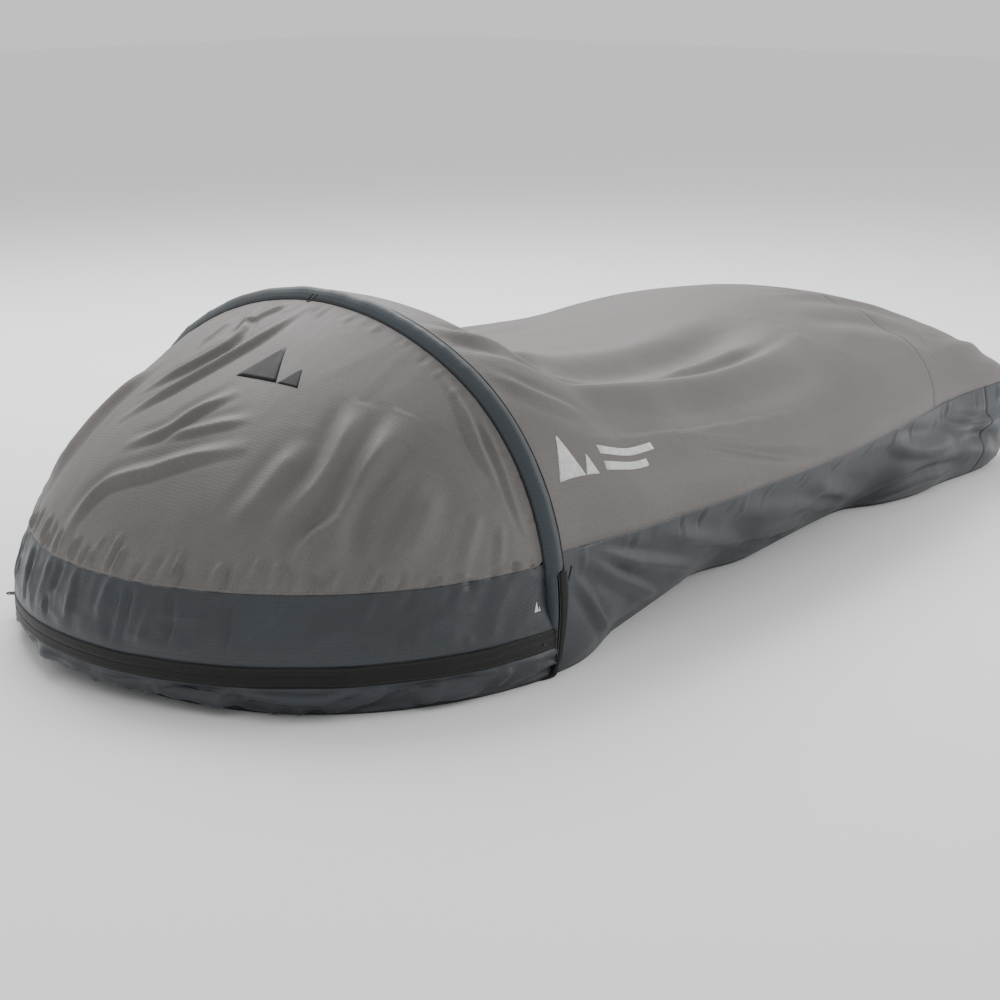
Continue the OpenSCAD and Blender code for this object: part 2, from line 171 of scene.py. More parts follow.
def hoop_line():
    """Pole's centre line from the near foot to the far foot, as y, z and arc length."""
    w = math.cos(LEG_LEAN) - math.cos(LEG_TURN)
    h = math.sin(LEG_LEAN) + math.sin(LEG_TURN)
    top_w, top_h = math.cos(SHOULDER_TURN), 1 - math.sin(SHOULDER_TURN)
    rest_w = HOOP_FOOT - SHOULDER_R * (math.cos(LEG_TURN) - top_w)
    rest_h = HOOP_TOP - SHOULDER_R * (math.sin(SHOULDER_TURN) - math.sin(LEG_TURN))
    leg_r = (rest_h * top_w - rest_w * top_h) / (h * top_w - w * top_h)
    top_r = (rest_w - leg_r * w) / top_w
    turn = np.linspace(-LEG_LEAN, math.pi / 2, 600)
    radius = np.where(turn < LEG_TURN, leg_r, np.where(turn < SHOULDER_TURN, SHOULDER_R, top_r))
    step = np.diff(turn, prepend=turn[0]) * radius
    y = -HOOP_FOOT + np.cumsum(step * np.sin(turn))
    z = np.cumsum(step * np.cos(turn))
    y, z = y - y[-1] * np.linspace(0, 1, len(y)), z * HOOP_TOP / z[-1]
    y, z = np.concatenate([y, -y[-2::-1]]), np.concatenate([z, z[-2::-1]])
    return y, z, np.concatenate([[0], np.cumsum(np.hypot(np.diff(y), np.diff(z)))])


ARCH_Y, ARCH_Z, ARCH_S = hoop_line()


def arch_at(s):
    """Point on the hoop at arc length s from its near foot."""
    return np.interp(s, ARCH_S, ARCH_Y), np.interp(s, ARCH_S, ARCH_Z)


def arch_length_at(z):
    """Arc length where the near leg reaches height z."""
    half = len(ARCH_Z) // 2 + 1
    return np.interp(z, ARCH_Z[:half], ARCH_S[:half])


def arch_fraction(f, z_low):
    """Hoop point at fraction f of the stretch that stands above z_low."""
    low = arch_length_at(z_low)
    return arch_at(low + (ARCH_S[-1] - 2 * low) * f)


# --- body of the sack -------------------------------------------------------
# A station p is the distance from the hoop up to CORNER_X; past it, it is CORNER_X
# plus the turn round the foot's corner, where 1 is the tip of the foot.

def corner_turn(p):
    return np.clip(p - CORNER_X, 0, 1) * math.pi / 2


def corner_cos(p):
    return power(np.maximum(np.cos(corner_turn(p)), 0), CORNER_POWER)


def station_x(p, reach=CORNER_REACH):
    return np.minimum(p, CORNER_X) + reach * power(np.sin(corner_turn(p)), CORNER_POWER)


def seam_half(p):
    return smooth_through(np.minimum(p, CORNER_X), SEAM_HALVES) * corner_cos(p)


def top_surface(p, f):
    """Top skin at station p; f runs from 0 at the near seam to 1 at the far seam."""
    x = station_x(p)
    t = f * math.pi
    rise = smooth_through(x, RIDGE_HEIGHTS) - SIDE_SEAM_Z
    y = -seam_half(p) * power(np.cos(t), TOP_POWER)
    z = SIDE_SEAM_Z + rise * power(np.sin(t), TOP_POWER)
    hoop_y, hoop_z = arch_fraction(f, SIDE_SEAM_Z)
    near_hoop = 1 - smoothstep(x / HOOP_BLEND)
    crown = 0.003 * np.sin(t)
    return points_of(x, y + (hoop_y - y) * near_hoop, z + (hoop_z + crown - z) * near_hoop)


def side_surface(p, k, side):
    """Side band at station p; k runs from 0 at the floor to 1 at the seam."""
    x_seam = station_x(p)
    x_floor = station_x(p, CORNER_REACH - FLOOR_TUCK)
    floor = smooth_through(np.minimum(p, CORNER_X), FLOOR_HALVES) * corner_cos(p)
    bulge = k ** 0.8
    near_hoop = 1 - smoothstep(x_seam / HOOP_BLEND)
    leg_y = -np.interp(k * arch_length_at(SIDE_SEAM_Z), ARCH_S, ARCH_Y)
    belly = np.sin(math.pi * np.minimum(k, 1) ** 0.75) * smoothstep((p - 0.85) / 0.5)
    y = floor + (seam_half(p) - floor) * bulge + BELLY * belly * corner_cos(p)
    y = y + (leg_y - y) * near_hoop
    x = x_floor + (x_seam - x_floor) * bulge + BELLY * belly * np.sin(corner_turn(p))
    z = FLOOR_Z + (SIDE_SEAM_Z - FLOOR_Z) * k
    return points_of(x, side * y, z)


# --- head end ---------------------------------------------------------------
# Outline on the ground: a rounded square round a centre behind the hoop. Both sweeps
# stop where the outline or the zip's arc meets the hoop.

GROUND_CENTRE, GROUND_REACH, GROUND_HALF, GROUND_POWER = 0.075, 0.490, 0.444, 2 / 2.4
GROUND_SWEEP = math.acos((GROUND_CENTRE / GROUND_REACH) ** (1 / GROUND_POWER))
ARC_SWEEP = math.pi - math.acos((ZIP_BACK - 0.004) / ZIP_R)


def ground_line(t):
    """Outline of the head on the ground; t is 0 at the front."""
    return (GROUND_CENTRE - GROUND_REACH * power(np.cos(t), GROUND_POWER),
            GROUND_HALF * power(np.sin(t), GROUND_POWER))


def arc_point(u, r=ZIP_R):
    """Zip arc in plan; u runs from 0 at the near foot to 1 at the far foot."""
    a = ARC_SWEEP * (2 * u - 1)
    return -ZIP_BACK - r * np.cos(a), r * np.sin(a)


def wall_surface(u, k):
    """Wall under the zip; k runs from 0 on the ground to 1 at the tape."""
    gx, gy = ground_line(GROUND_SWEEP * (2 * u - 1))
    zx, zy = arc_point(u)
    out = smoothstep(k * 1.3)
    z = FLOOR_Z + (ZIP_Z - TAPE_H - FLOOR_Z) * k
    return points_of(gx + (zx - gx) * out, gy + (zy - gy) * out, z)


def tape_surface(u, k):
    """Zip tapes; k runs from 0 at the bottom edge to 1 at the top edge."""
    x, y = arc_point(u)
    return points_of(x, y, ZIP_Z + TAPE_H * (2 * k - 1))


def door_surface(u, w):
    """Door cloth; w runs from 0 at the zip tape to 1 at the sleeve."""
    x0, y0 = arc_point(u)
    z0 = ZIP_Z + TAPE_H
    y3, z3 = arch_fraction(u, z0)
    x3, y3, z3 = -DOOR_EDGE_X, y3 * DOOR_EDGE_DROP, z3 - 0.007 * np.sin(math.pi * u)
    x1, z1 = x0 + 0.026, z0 + 0.47 * (z3 - z0)
    x2, y2, z2 = x3 + 0.42 * (x0 - x3), 0.77 * y3 + 0.23 * y0, z3 - 0.20 * (z3 - z0)
    b = ((1 - w)**3, 3 * w * (1 - w)**2, 3 * w * w * (1 - w), w**3)
    return points_of(b[0] * x0 + b[1] * x1 + b[2] * x2 + b[3] * x3,
                     b[0] * y0 + b[1] * y0 + b[2] * y2 + b[3] * y3,
                     b[0] * z0 + b[1] * z1 + b[2] * z2 + b[3] * z3)


def door_seam_w(u):
    """Where on each column of the door the dark band ends, at most 1."""
    w = np.linspace(0, 1, 400)
    heights = door_surface(np.asarray(u)[:, None], w[None, :])[..., 2]
    return np.array([np.interp(DOOR_SEAM_Z, h, w, right=1.0) for h in heights])


# --- folds ------------------------------------------------------------------

def unit(v):
    return v / np.maximum(np.linalg.norm(v, axis=-1, keepdims=True), 1e-12)


def slope_normals(points):
    """Normals of a grid of points, from its rows and columns."""
    return unit(np.cross(np.gradient(points, axis=0), np.gradient(points, axis=1)))


def fold_height(points, normals, line, width, height, lean=1.0):
    """Ridge of cloth along a line in space, tapered at its ends.

    lean above 1 makes the ridge's left side wider than its right side.
    """
    near = np.all((points > line.min(0) - 4 * width) & (points < line.max(0) + 4 * width), axis=-1)
    out = np.zeros(points.shape[:-1])
    if not near.any():
        return out
    pts, nrm = points[near], normals[near]
    best = np.full(len(pts), 1e9)
    along, side = np.zeros(len(pts)), np.zeros(len(pts))
    lengths = np.linalg.norm(np.diff(line, axis=0), axis=1)
    total, before = lengths.sum(), 0.0
    for a, b, length in zip(line[:-1], line[1:], lengths):
        d = (b - a) / length
        t = np.clip((pts - a) @ d, 0, length)
        away = pts - (a + t[:, None] * d)
        away -= nrm * np.sum(away * nrm, axis=1, keepdims=True) * 0.8
        dist = np.linalg.norm(away, axis=1)
        closer = dist < best
        best[closer] = dist[closer]
        along[closer] = (before + t[closer]) / total
        side[closer] = np.sum(np.cross(d, away) * nrm, axis=1)[closer]
        before += length
    reach = np.where(side > 0, width * lean, width / lean)
    ridge = np.exp(-(best / reach) ** 2) - 0.35 * np.exp(-((best / reach - 1.9) / 0.9) ** 2)
    ends = smoothstep(along / 0.3) * smoothstep((1 - along) / 0.3)
    out[near] = FOLD_STRENGTH * height * ridge * (0.15 + 0.85 * ends) * (ends > 0)
    return out


def smooth_line(points, count=24):
    """Evenly spread points along a smooth curve through a few given ones."""
    points = np.array(points, float)
    s = distance_along(points)
    at = np.linspace(0, s[-1], count)
    return np.stack([smooth_through(at, list(zip(s, c))) for c in points.T], -1)


def add_folds(points, normals, surface, folds):
    """Sum of the folds whose lines are given as parameters of the surface."""
    total = np.zeros(points.shape[:-1])
    for line, width, height, lean in folds:
        if len(line) > 2:
            line = smooth_line(line, 12)
        a, b = np.array(line, float).T
        total += fold_height(points, normals, surface(a, b), width, height, lean)
    return total


# Folds of the door as seen: (line in u and w, half width, height, lean).
DOOR_FOLDS = (
    (((.50, .97), (.52, .80), (.57, .63), (.61, .54)), .008, .0050, 0.8),
    (((.58, .96), (.55, .81), (.57, .74), (.62, .63)), .008, .0050, 0.8),
    (((.60, .92), (.60, .80)), .006, .0035, 1.0),
    (((.53, .99), (.58, .86)), .006, .0030, 1.0),
    (((.47, .67), (.50, .59), (.52, .52), (.56, .47)), .008, .0045, 0.8),
    (((.43, .61), (.51, .51)), .008, .0030, 0.8),
    (((.41, .54), (.46, .48), (.50, .42), (.54, .38), (.56, .31), (.57, .20)), .010, .0055, 0.8),
    (((.30, .80), (.29, .66), (.28, .50), (.29, .28)), .020, .0085, 1.3),
    (((.27, .72), (.27, .50), (.25, .30)), .014, -.0060, 1.0),
    (((.34, .76), (.32, .55), (.33, .36)), .018, .0065, 1.3),
    (((.29, .44), (.30, .33), (.29, .22)), .009, .0050, 1.0),
    (((.36, .60), (.37, .34)), .016, .0040, 1.2),
    (((.23, .70), (.21, .50), (.22, .30)), .014, .0045, 1.2),
    (((.27, .95), (.22, .89), (.17, .85)), .006, .0030, 1.2),
    (((.25, .97), (.19, .93), (.15, .89), (.11, .86)), .005, .0028, 1.2),
    (((.30, .97), (.24, .92), (.20, .86)), .006, .0022, 1.2),
    (((.14, .76), (.11, .50)), .006, .0025, 1.0),
    (((.17, .72), (.15, .42)), .008, .0025, 1.0),
    (((.66, .78), (.69, .58), (.69, .32)), .018, .0075, 0.8),
    (((.72, .74), (.74, .50), (.73, .30)), .015, .0060, 1.2),
    (((.76, .95), (.80, .90), (.86, .86)), .006, .0030, 0.8),
    (((.72, .97), (.78, .91), (.83, .84)), .006, .0025, 0.8),
    (((.86, .76), (.88, .50)), .007, .0030, 1.0),
    (((.80, .66), (.82, .36)), .010, .0035, 1.0),
)


def seam_puckers(surface, seam, seed, count, spread, length, width, height):
    """Short random creases that leave a seam, as folds on the surface.

    seam(a) gives the seam's other parameter; length is in units of that parameter.
    """
    rng = np.random.default_rng(seed)
    out = []
    for a in np.linspace(spread[0], spread[1], count):
        a = a + rng.uniform(-0.4, 0.4) * (spread[1] - spread[0]) / count
        b = seam(a)
        reach = length * rng.uniform(0.35, 1.0)
        lean = rng.uniform(-0.25, 0.25) * abs(reach)
        out.append((((a, b), (a + lean * 0.3, b + reach)), width * rng.uniform(0.6, 1.2),
                    height * rng.uniform(0.4, 1.0) * rng.choice((-1, 1)), 1.0))
    return out


# Folds of the body's top: lines in station p and fraction f.
TOP_FOLDS = (
    (((.02, .28), (.10, .275), (.27, .28), (.53, .28), (.77, .29), (.90, .31)), .022, .0085, 0.6),
    (((.16, .40), (.31, .355), (.47, .36), (.69, .375), (.89, .40)), .040, -.0110, 1.0),
    (((.01, .34), (.07, .32), (.16, .35), (.25, .33)), .012, .0060, 0.8),
    (((.12, .44), (.20, .41), (.33, .42)), .014, .0050, 0.8),
    (((.03, .24), (.08, .215), (.17, .21)), .010, .0030, 0.8),
    (((.33, .155), (.42, .12), (.56, .06), (.70, .01)), .009, -.0030, 1.0),
    (((.45, .31), (.62, .33), (.78, .34)), .014, .0050, 0.8),
    (((.95, .34), (1.10, .30), (1.25, .22)), .030, -.0050, 1.0),
    (((1.05, .45), (1.20, .40), (1.33, .30)), .018, .0040, 0.8),
    (((.03, .66), (.20, .70), (.48, .71), (.80, .68)), .026, .0080, 1.5),
    (((.20, .60), (.45, .62), (.78, .58)), .035, -.0080, 1.0),
    (((.05, .78), (.22, .82), (.45, .90)), .012, .0035, 1.0),
    (((.55, .90), (.75, .86), (.95, .92)), .012, -.0030, 1.0),
    (((1.25, .80), (1.42, .72), (1.62, .66)), .016, .0040, 1.0),
    (((1.22, .14), (1.45, .20), (1.70, .26)), .016, .0035, 1.0),
)

# Folds of the side bands: lines in station p and height fraction k.
SIDE_FOLDS = (
    (((.06, .95), (.19, .72), (.46, .22)), .010, .0070, 0.8),
    (((.05, .92), (.15, .62), (.34, .10)), .009, .0060, 0.8),
    (((.04, .80), (.09, .45), (.16, .05)), .008, .0045, 0.8),
    (((.22, .92), (.40, .60), (.60, .25)), .012, .0060, 1.2),
    (((.42, .90), (.60, .62), (.82, .45)), .014, .0060, 1.2),
    (((.55, .30), (.68, .14), (.80, .06)), .010, -.0070, 1.0),
    (((.66, .80), (.84, .50), (1.00, .20)), .014, .0070, 1.2),
    (((.74, .40), (.86, .26), (.98, .10)), .009, .0060, 1.2),
    (((.98, .85), (1.12, .60), (1.30, .50)), .014, .0070, 1.2),
    (((1.02, .10), (1.16, .30), (1.34, .24)), .010, -.0070, 1.0),
    (((1.18, .82), (1.30, .66), (1.48, .60)), .012, .0080, 0.8),
    (((1.28, .75), (1.40, .45), (1.52, .30), (1.66, .28)), .018, -.0060, 1.0),
    (((1.50, .70), (1.62, .46), (1.78, .30)), .014, .0090, 1.2),
)

# Creases of the wall under the zip: lines in u and height fraction k.
WALL_FOLDS = (
    (((.185, .92), (.22, .45), (.26, .20)), .010, .0060, 1.2),
    (((.21, .85), (.26, .70), (.33, .80)), .008, .0070, 0.8),
    (((.17, .50), (.13, .38), (.09, .42)), .009, .0055, 1.0),
    (((.25, .35), (.30, .22), (.36, .30)), .010, .0060, 1.0),
    (((.31, .80), (.35, .50), (.42, .62)), .009, .0065, 1.2),
    (((.40, .35), (.47, .55), (.53, .35)), .010, .0060, 0.8),
    (((.49, .90), (.53, .60), (.59, .80)), .008, .0060, 0.8),
    (((.57, .40), (.63, .25), (.70, .40)), .009, .0060, 1.0),
    (((.66, .85), (.71, .55), (.77, .75)), .008, .0060, 1.0),
    (((.78, .40), (.84, .30), (.90, .50)), .009, .0050, 1.0),
    (((.06, .80), (.08, .40)), .007, .0045, 1.0),
)


# --- grids of cloth -----------------------------------------------------------

class Grid:
    """Points of a cloth in the hoop's frame, with its normals and pattern coordinates."""

    def __init__(self, points, normals, pattern):
        self.points, self.normals, self.pattern = points, normals, pattern

    def part(self, rows=slice(None), columns=slice(None)):
        return Grid(self.points[rows, columns], self.normals[rows, columns],
                    self.pattern[rows, columns])

    def at(self, i, j):
        """Point and normal between the grid's nodes, i and j counted in rows and columns."""
        i = np.clip(i, 0, self.points.shape[0] - 1.001)
        j = np.clip(j, 0, self.points.shape[1] - 1.001)
        i0, j0 = i.astype(int), j.astype(int)
        fi, fj = (i - i0)[..., None], (j - j0)[..., None]

        def mix(values):
            low = values[i0, j0] * (1 - fj) + values[i0, j0 + 1] * fj
            high = values[i0 + 1, j0] * (1 - fj) + values[i0 + 1, j0 + 1] * fj
            return low * (1 - fi) + high * fi

        return mix(self.points), unit(mix(self.normals))


def joined(*grids):
    """Grids that follow each other along the rows, sharing their border rows."""
    return Grid(*(np.concatenate([getattr(g, name) if i == 0 else getattr(g, name)[1:]
                                  for i, g in enumerate(grids)])
                  for name in ("points", "normals", "pattern")))


def spread_pattern(points):
    """Pattern coordinates in metres: along the rows, and along the middle column."""
    across = np.linalg.norm(np.diff(points, axis=1, prepend=points[:, :1]), axis=-1)
    middle = points[:, points.shape[1] // 2]
    down = np.cumsum(np.linalg.norm(np.diff(middle, axis=0, prepend=middle[:1]), axis=-1))
    u = np.cumsum(across, axis=1)
    u = u - u[:, [u.shape[1] // 2]]
    return np.stack([u, np.repeat(down[:, None], u.shape[1], 1), 0 * u], -1)


def head_grid(surface, u, rows, folds, rough, edge):
    """Grid of one head surface: rows[j] gives its second parameter along every column u."""
    a = np.repeat(u[:, None], rows.shape[1], 1)
    base = surface(a, rows)
    step = 1e-3
    inside_a, inside_b = np.clip(a, step, 1 - step), np.clip(rows, step, 1 - step)
    normals = unit(np.cross(
        surface(inside_a, inside_b + step) - surface(inside_a, inside_b - step),
        surface(inside_a + step, inside_b) - surface(inside_a - step, inside_b)))
    pattern = spread_pattern(base)
    height = add_folds(base, normals, surface, folds)
    height += rough(base, a, rows)
    return Grid(base + normals * (height * edge(base, a, rows))[..., None], normals, pattern)


HEAD_COLUMNS = 281
DOOR_ROWS = 110
BAND_ROWS = 26
WALL_ROWS = 26
U = np.linspace(0, 1, HEAD_COLUMNS)


# The functions for head_grid take the points and both of their surface parameters.

def above_tape(base, a, b):
    """How free the door cloth is: held still by the zip tape and by the sleeve."""
    return smoothstep((base[..., 2] - ZIP_Z - TAPE_H + 0.001) / 0.022) * (
        0.35 + 0.65 * smoothstep((-base[..., 0] - 0.012) / 0.03))


def door_rough(base, a, b):
    """Small unevenness of the door: slack low down, taut higher up."""
    x, y = a * HEAD_LENGTH, base[..., 2]
    low = 1 - smoothstep((y - 0.10) / 0.14)
    upright = crumple(x / 0.050, y / 0.130, 11)
    faceted = crumple(x / 0.060, y / 0.055, 23)
    soft = noise(x / 0.16, y / 0.20, 31)
    return 0.0020 * soft + (0.0005 + 0.0022 * low) * upright + (0.0003 + 0.0022 * low) * faceted


def wall_free(base, a, b):
    """How free the wall's cloth is: held still on the ground and by the zip tape."""
    return smoothstep(b / 0.12) * smoothstep((1 - b) / 0.22)


def wall_rough(base, a, b):
    x = a * HEAD_LENGTH
    return 0.0070 * crumple(x / 0.085, b / 0.8 + 3, 41) + 0.0030 * noise(x / 0.20, b, 47) - 0.0035


def build_door():
    """Dark band and grey dome of the door, which share the seam's row of points."""
    split = door_seam_w(U)
    folds = list(DOOR_FOLDS)

    def seam(a):
        return float(np.interp(a, U, split))

    folds += seam_puckers(door_surface, seam, 5, 46, (.06, .94), 0.12, .0050, .0042)
    folds += seam_puckers(door_surface, seam, 6, 26, (.05, .95), -0.16, .0065, .0030)
    folds += seam_puckers(door_surface, lambda a: 0.02, 7, 22, (.03, .97), 0.14, .0065, .0030)
    folds += seam_puckers(door_surface, lambda a: 0.995, 8, 34, (.12, .88), -0.07, .0042, .0024)
    band_rows = split[:, None] * np.linspace(0, 1, BAND_ROWS)[None, :]
    band = head_grid(door_surface, U, band_rows, folds, door_rough, above_tape)
    over = split < 0.985
    u, low = U[over], split[over][:, None]
    panel_rows = low + (1 - low) * np.linspace(0, 1, DOOR_ROWS)[None, :]
    panel = head_grid(door_surface, u, panel_rows, folds, door_rough, above_tape)
    return band, panel, u


def build_wall():
    rows = np.repeat(np.linspace(0, 1, WALL_ROWS)[None, :], HEAD_COLUMNS, 0)
    grid = head_grid(wall_surface, U, rows, WALL_FOLDS, wall_rough, wall_free)
    grid.points[..., 2] = np.maximum(grid.points[..., 2], GROUND_GAP)
    return grid


STATIONS = np.concatenate([np.linspace(0.012, CORNER_X, 236),
                           CORNER_X + np.linspace(0, 1, 61)[1:] ** 1.2])
SIDE_COLUMNS = 34
TOP_COLUMNS = 171


def body_rough(points, across):
    """Unevenness of the body: long along the sack, stronger low on the side bands."""
    x, low = points[..., 0], 1 - smoothstep((points[..., 2] - 0.10) / 0.12)
    long_way = crumple(x / 0.22, across / 0.080, 61)
    slanted = crumple(x / 0.26, across / 0.09 + 0.9 * x / 0.26, 71)
    soft = noise(x / 0.24, across / 0.16, 83)
    return 0.0030 * soft + (0.0010 + 0.0018 * low) * long_way + (0.0002 + 0.0018 * low) * slanted


def build_body():
    """Whole body in one grid: near side band, top, far side band."""
    p = STATIONS
    k = np.linspace(0, 1, SIDE_COLUMNS)
    f = np.linspace(0, 1, TOP_COLUMNS)
    f = f + 0.05 * np.sin(2 * math.pi * f) / (2 * math.pi)
    near = side_surface(p[:, None], k[None, :], -1.0)
    top = top_surface(p[:, None], f[None, :])
    far = side_surface(p[:, None], k[None, ::-1], 1.0)
    base = np.concatenate([near, top[:, 1:-1], far], axis=1)
    normals = slope_normals(base)
    pattern = spread_pattern(base)[..., [1, 0, 2]]
    across = pattern[..., 1]
    height = add_folds(base, normals, top_surface, TOP_FOLDS)
    for side, shift in ((-1.0, 0.0), (1.0, 0.035)):
        moved = [(tuple((a + shift, b) for a, b in line), w, h, lean)
                 for line, w, h, lean in SIDE_FOLDS]
        height += add_folds(base, normals, lambda a, b: side_surface(a, b, side), moved)
        puckers = seam_puckers(None, lambda a: 0.99, 15, 22, (.05, 2.2), -0.30, .006, .0020)
        height += add_folds(base, normals, lambda a, b: side_surface(a, b, side), puckers)
    height += body_rough(base, across)
    hoop_end = smoothstep((base[..., 0] - 0.012) / 0.02) * 0.7 + 0.3
    tip_end = smoothstep((TIP - p) / 0.25)[:, None]
    floor_edge = smoothstep((base[..., 2] - 0.001) / 0.012)
    points = base + normals * (height * hoop_end * tip_end * floor_edge)[..., None]
    points[..., 2] = np.maximum(points[..., 2], GROUND_GAP)
    return Grid(points, normals, pattern)


# --- meshes -------------------------------------------------------------------

def new_object(name, points, faces, material, pattern=None, rim=0):
    """Mesh object from points in the hoop's frame. Its last rim faces are shaded flat."""
    points = np.asarray(points, float).reshape(-1, 3) + (HOOP_X, 0, 0)
    mesh = bpy.data.meshes.new(name)
    mesh.from_pydata(points.tolist(), [], [list(map(int, f)) for f in faces])
    soft = len(mesh.polygons) - rim
    mesh.polygons.foreach_set("use_smooth", [True] * soft + [False] * rim)
    if pattern is not None:
        layer = mesh.attributes.new("pattern", "FLOAT_VECTOR", "POINT")
        layer.data.foreach_set("vector", np.asarray(pattern, np.float32).ravel())
    mesh.validate()
    obj = bpy.data.objects.new(name, mesh)
    bpy.context.scene.collection.objects.link(obj)
    mesh.materials.append(material)
    return obj


def grid_faces(rows, columns, start=0, flip=False):
    i, j = np.meshgrid(np.arange(rows - 1), np.arange(columns - 1), indexing="ij")
    a = start + (i * columns + j).ravel()
    quads = np.stack([a, a + columns, a + columns + 1, a + 1], -1)
    return quads[:, ::-1] if flip else quads


def rim_faces(rows, columns, start=0):
    """Faces between the borders of a grid and of a second one that follows it."""
    count = rows * columns
    ring = np.concatenate([np.arange(columns), columns * np.arange(1, rows) + columns - 1,
                           count - 2 - np.arange(columns - 1),
                           columns * np.arange(rows - 2, 0, -1)])
    after = np.roll(ring, -1)
    return np.stack([ring, after, after + count, ring + count], -1) + start


def cloth_piece(name, grid, material, thick=CLOTH):
    """Thin closed sheet from a grid: outer face, inner face and the rim between them."""
    if np.sum(slope_normals(grid.points) * grid.normals) < 0:
        grid = Grid(grid.points[:, ::-1], grid.normals[:, ::-1], grid.pattern[:, ::-1])
    rows, columns = grid.points.shape[:2]
    inner = grid.points - grid.normals * thick
    rim = rim_faces(rows, columns)
    faces = np.concatenate([grid_faces(rows, columns),
                            grid_faces(rows, columns, rows * columns, True), rim])
    points = np.concatenate([grid.points.reshape(-1, 3), inner.reshape(-1, 3)])
    pattern = np.concatenate([grid.pattern.reshape(-1, 3)] * 2)
    return new_object(name, points, faces, material, pattern=pattern, rim=len(rim))


def swept(name, path, normals, profile, material):
    """Closed tube or ribbon: profile points as (sideways, outwards) carried along a path.

    profile may be one list of points, or one list for every point of the path.
    """
    path, normals = np.asarray(path, float), unit(np.asarray(normals, float))
    tangents = unit(np.gradient(path, axis=0))
    sideways = unit(np.cross(tangents, normals))
    profile = np.asarray(profile, float)
    if profile.ndim == 2:
        profile = np.repeat(profile[None], len(path), 0)
    x, y = profile[len(profile) // 2].T
    if np.sum(x * np.roll(y, -1) - np.roll(x, -1) * y) > 0:
        profile = profile[:, ::-1]
    points = (path[:, None] + sideways[:, None] * profile[..., :1]
              + normals[:, None] * profile[..., 1:])
    rows, columns = points.shape[:2]
    i, j = np.meshgrid(np.arange(rows - 1), np.arange(columns), indexing="ij")
    a, b = i * columns + j, i * columns + (j + 1) % columns
    faces = list(np.stack([a, b, b + columns, a + columns], -1).reshape(-1, 4))
    faces += [range(columns)[::-1], range((rows - 1) * columns, rows * columns)]
    pattern = points_of(distance_along(path)[:, None], distance_along(profile[0])[None, :], 0.0)
    return new_object(name, points, faces, material, pattern=pattern)


def round_profile(radius, sides=8):
    t = np.linspace(0, 2 * math.pi, sides, endpoint=False)
    return np.stack([radius * np.cos(t), radius * np.sin(t)], -1)


def stitches(name, path, normals, material):
    """Row of thread stitches along a path, each a short rounded bar half sunk in the cloth."""
    path, normals = np.asarray(path, float), unit(np.asarray(normals, float))
    s = distance_along(path)
    centres = np.arange(STITCH_PITCH / 2, s[-1], STITCH_PITCH)

    def along(at, values):
        return np.stack([np.interp(at, s, c) for c in values.T], -1)

    half = STITCH_LENGTH / 2
    a, b = along(centres - half, path), along(centres + half, path)
    up = unit(along(centres, normals))
    d = unit(b - a)
    side = np.cross(d, up)
    ring = [(-1, 0.0), (-0.7, 0.9), (0.7, 0.9), (1, 0.0)]
    taper = d * STITCH_LENGTH * 0.25
    rings = []
    for end, narrow in ((a, 0.45), (a + taper, 1), (b - taper, 1), (b, 0.45)):
        rings += [end + side * (x * STITCH_R * narrow) + up * (y * STITCH_R * narrow)
                  for x, y in ring]
    points = np.stack(rings, 1)
    faces = [(4 * r + c, 4 * r + (c + 1) % 4, 4 * r + 4 + (c + 1) % 4, 4 * r + 4 + c)
             for r in range(3) for c in range(4)]
    faces += [(3, 2, 1, 0), (12, 13, 14, 15)]
    base = np.arange(len(centres))[:, None, None] * 16
    faces = (base + np.array(faces)[None]).reshape(-1, 4)
    return new_object(name, points, faces, material)


# --- pieces of the hoop -------------------------------------------------------

def arch_path(z_low, count, lift=0.0, x=0.0):
    """Path along the hoop above z_low, moved outwards by lift, with outward normals."""
    low = arch_length_at(z_low)
    s = np.linspace(low, ARCH_S[-1] - low, count)
    y, z = arch_at(s)
    d = np.stack([np.gradient(y, s), np.gradient(z, s)], -1)
    d /= np.linalg.norm(d, axis=1, keepdims=True)
    normals = np.stack([0 * s, -d[:, 1], d[:, 0]], -1)
    path = np.stack([0 * s + x, y, z], -1) + normals * lift
    return path, normals, s


# Sleeve's outer section: share of the width from front to back, fixed and crowned height.
SLEEVE_SECTION = ((0, -.0070, 0), (.06, -.0040, .0004), (.16, -.0010, .0020), (.28, .0015, .0042),
                  (.42, .0030, .0056), (.56, .0036, .0054), (.70, .0038, .0042),
                  (.84, .0038, .0018), (.93, .0036, .0006), (1, .0034, 0))
SLEEVE_LOW = 0.074
SLEEVE_OPEN = 0.150


def make_sleeve(cloth):
    """Fabric sleeve over the pole: crowned strip with flat sewn edges, closed inside.

    Below its open end only the front edge goes on, as a narrow strip, down to the zip.
    """
    path, normals, s = arch_path(SLEEVE_LOW, 330)
    from_end = np.minimum(s - s[0], s[-1] - s)
    open_at = arch_length_at(SLEEVE_OPEN) - arch_length_at(SLEEVE_LOW)
    whole = smoothstep((from_end - open_at + 0.006) / 0.012)
    slack = 0.0006 * noise(s / 0.035, 0 * s, 91) + 0.0005 * noise(s / 0.012, 0 * s, 92)
    strip_back = -0.0050
    rows = []
    for w, c in zip(whole, slack):
        back = strip_back + (SLEEVE_BACK - strip_back) * w
        span = back + SLEEVE_FRONT
        rise = 0.55 + 0.45 * w
        outer = [(-SLEEVE_FRONT + span * t, (low + high * rise) + c * math.sin(math.pi * t))
                 for t, low, high in SLEEVE_SECTION]
        inner = [(back - 0.0004, 0.0026), (-0.25 * SLEEVE_FRONT, 0.0012),
                 (-SLEEVE_FRONT + 0.0006, -0.0074)]
        rows.append(outer + inner)
    return swept("hoop_sleeve", path, normals, rows, cloth)


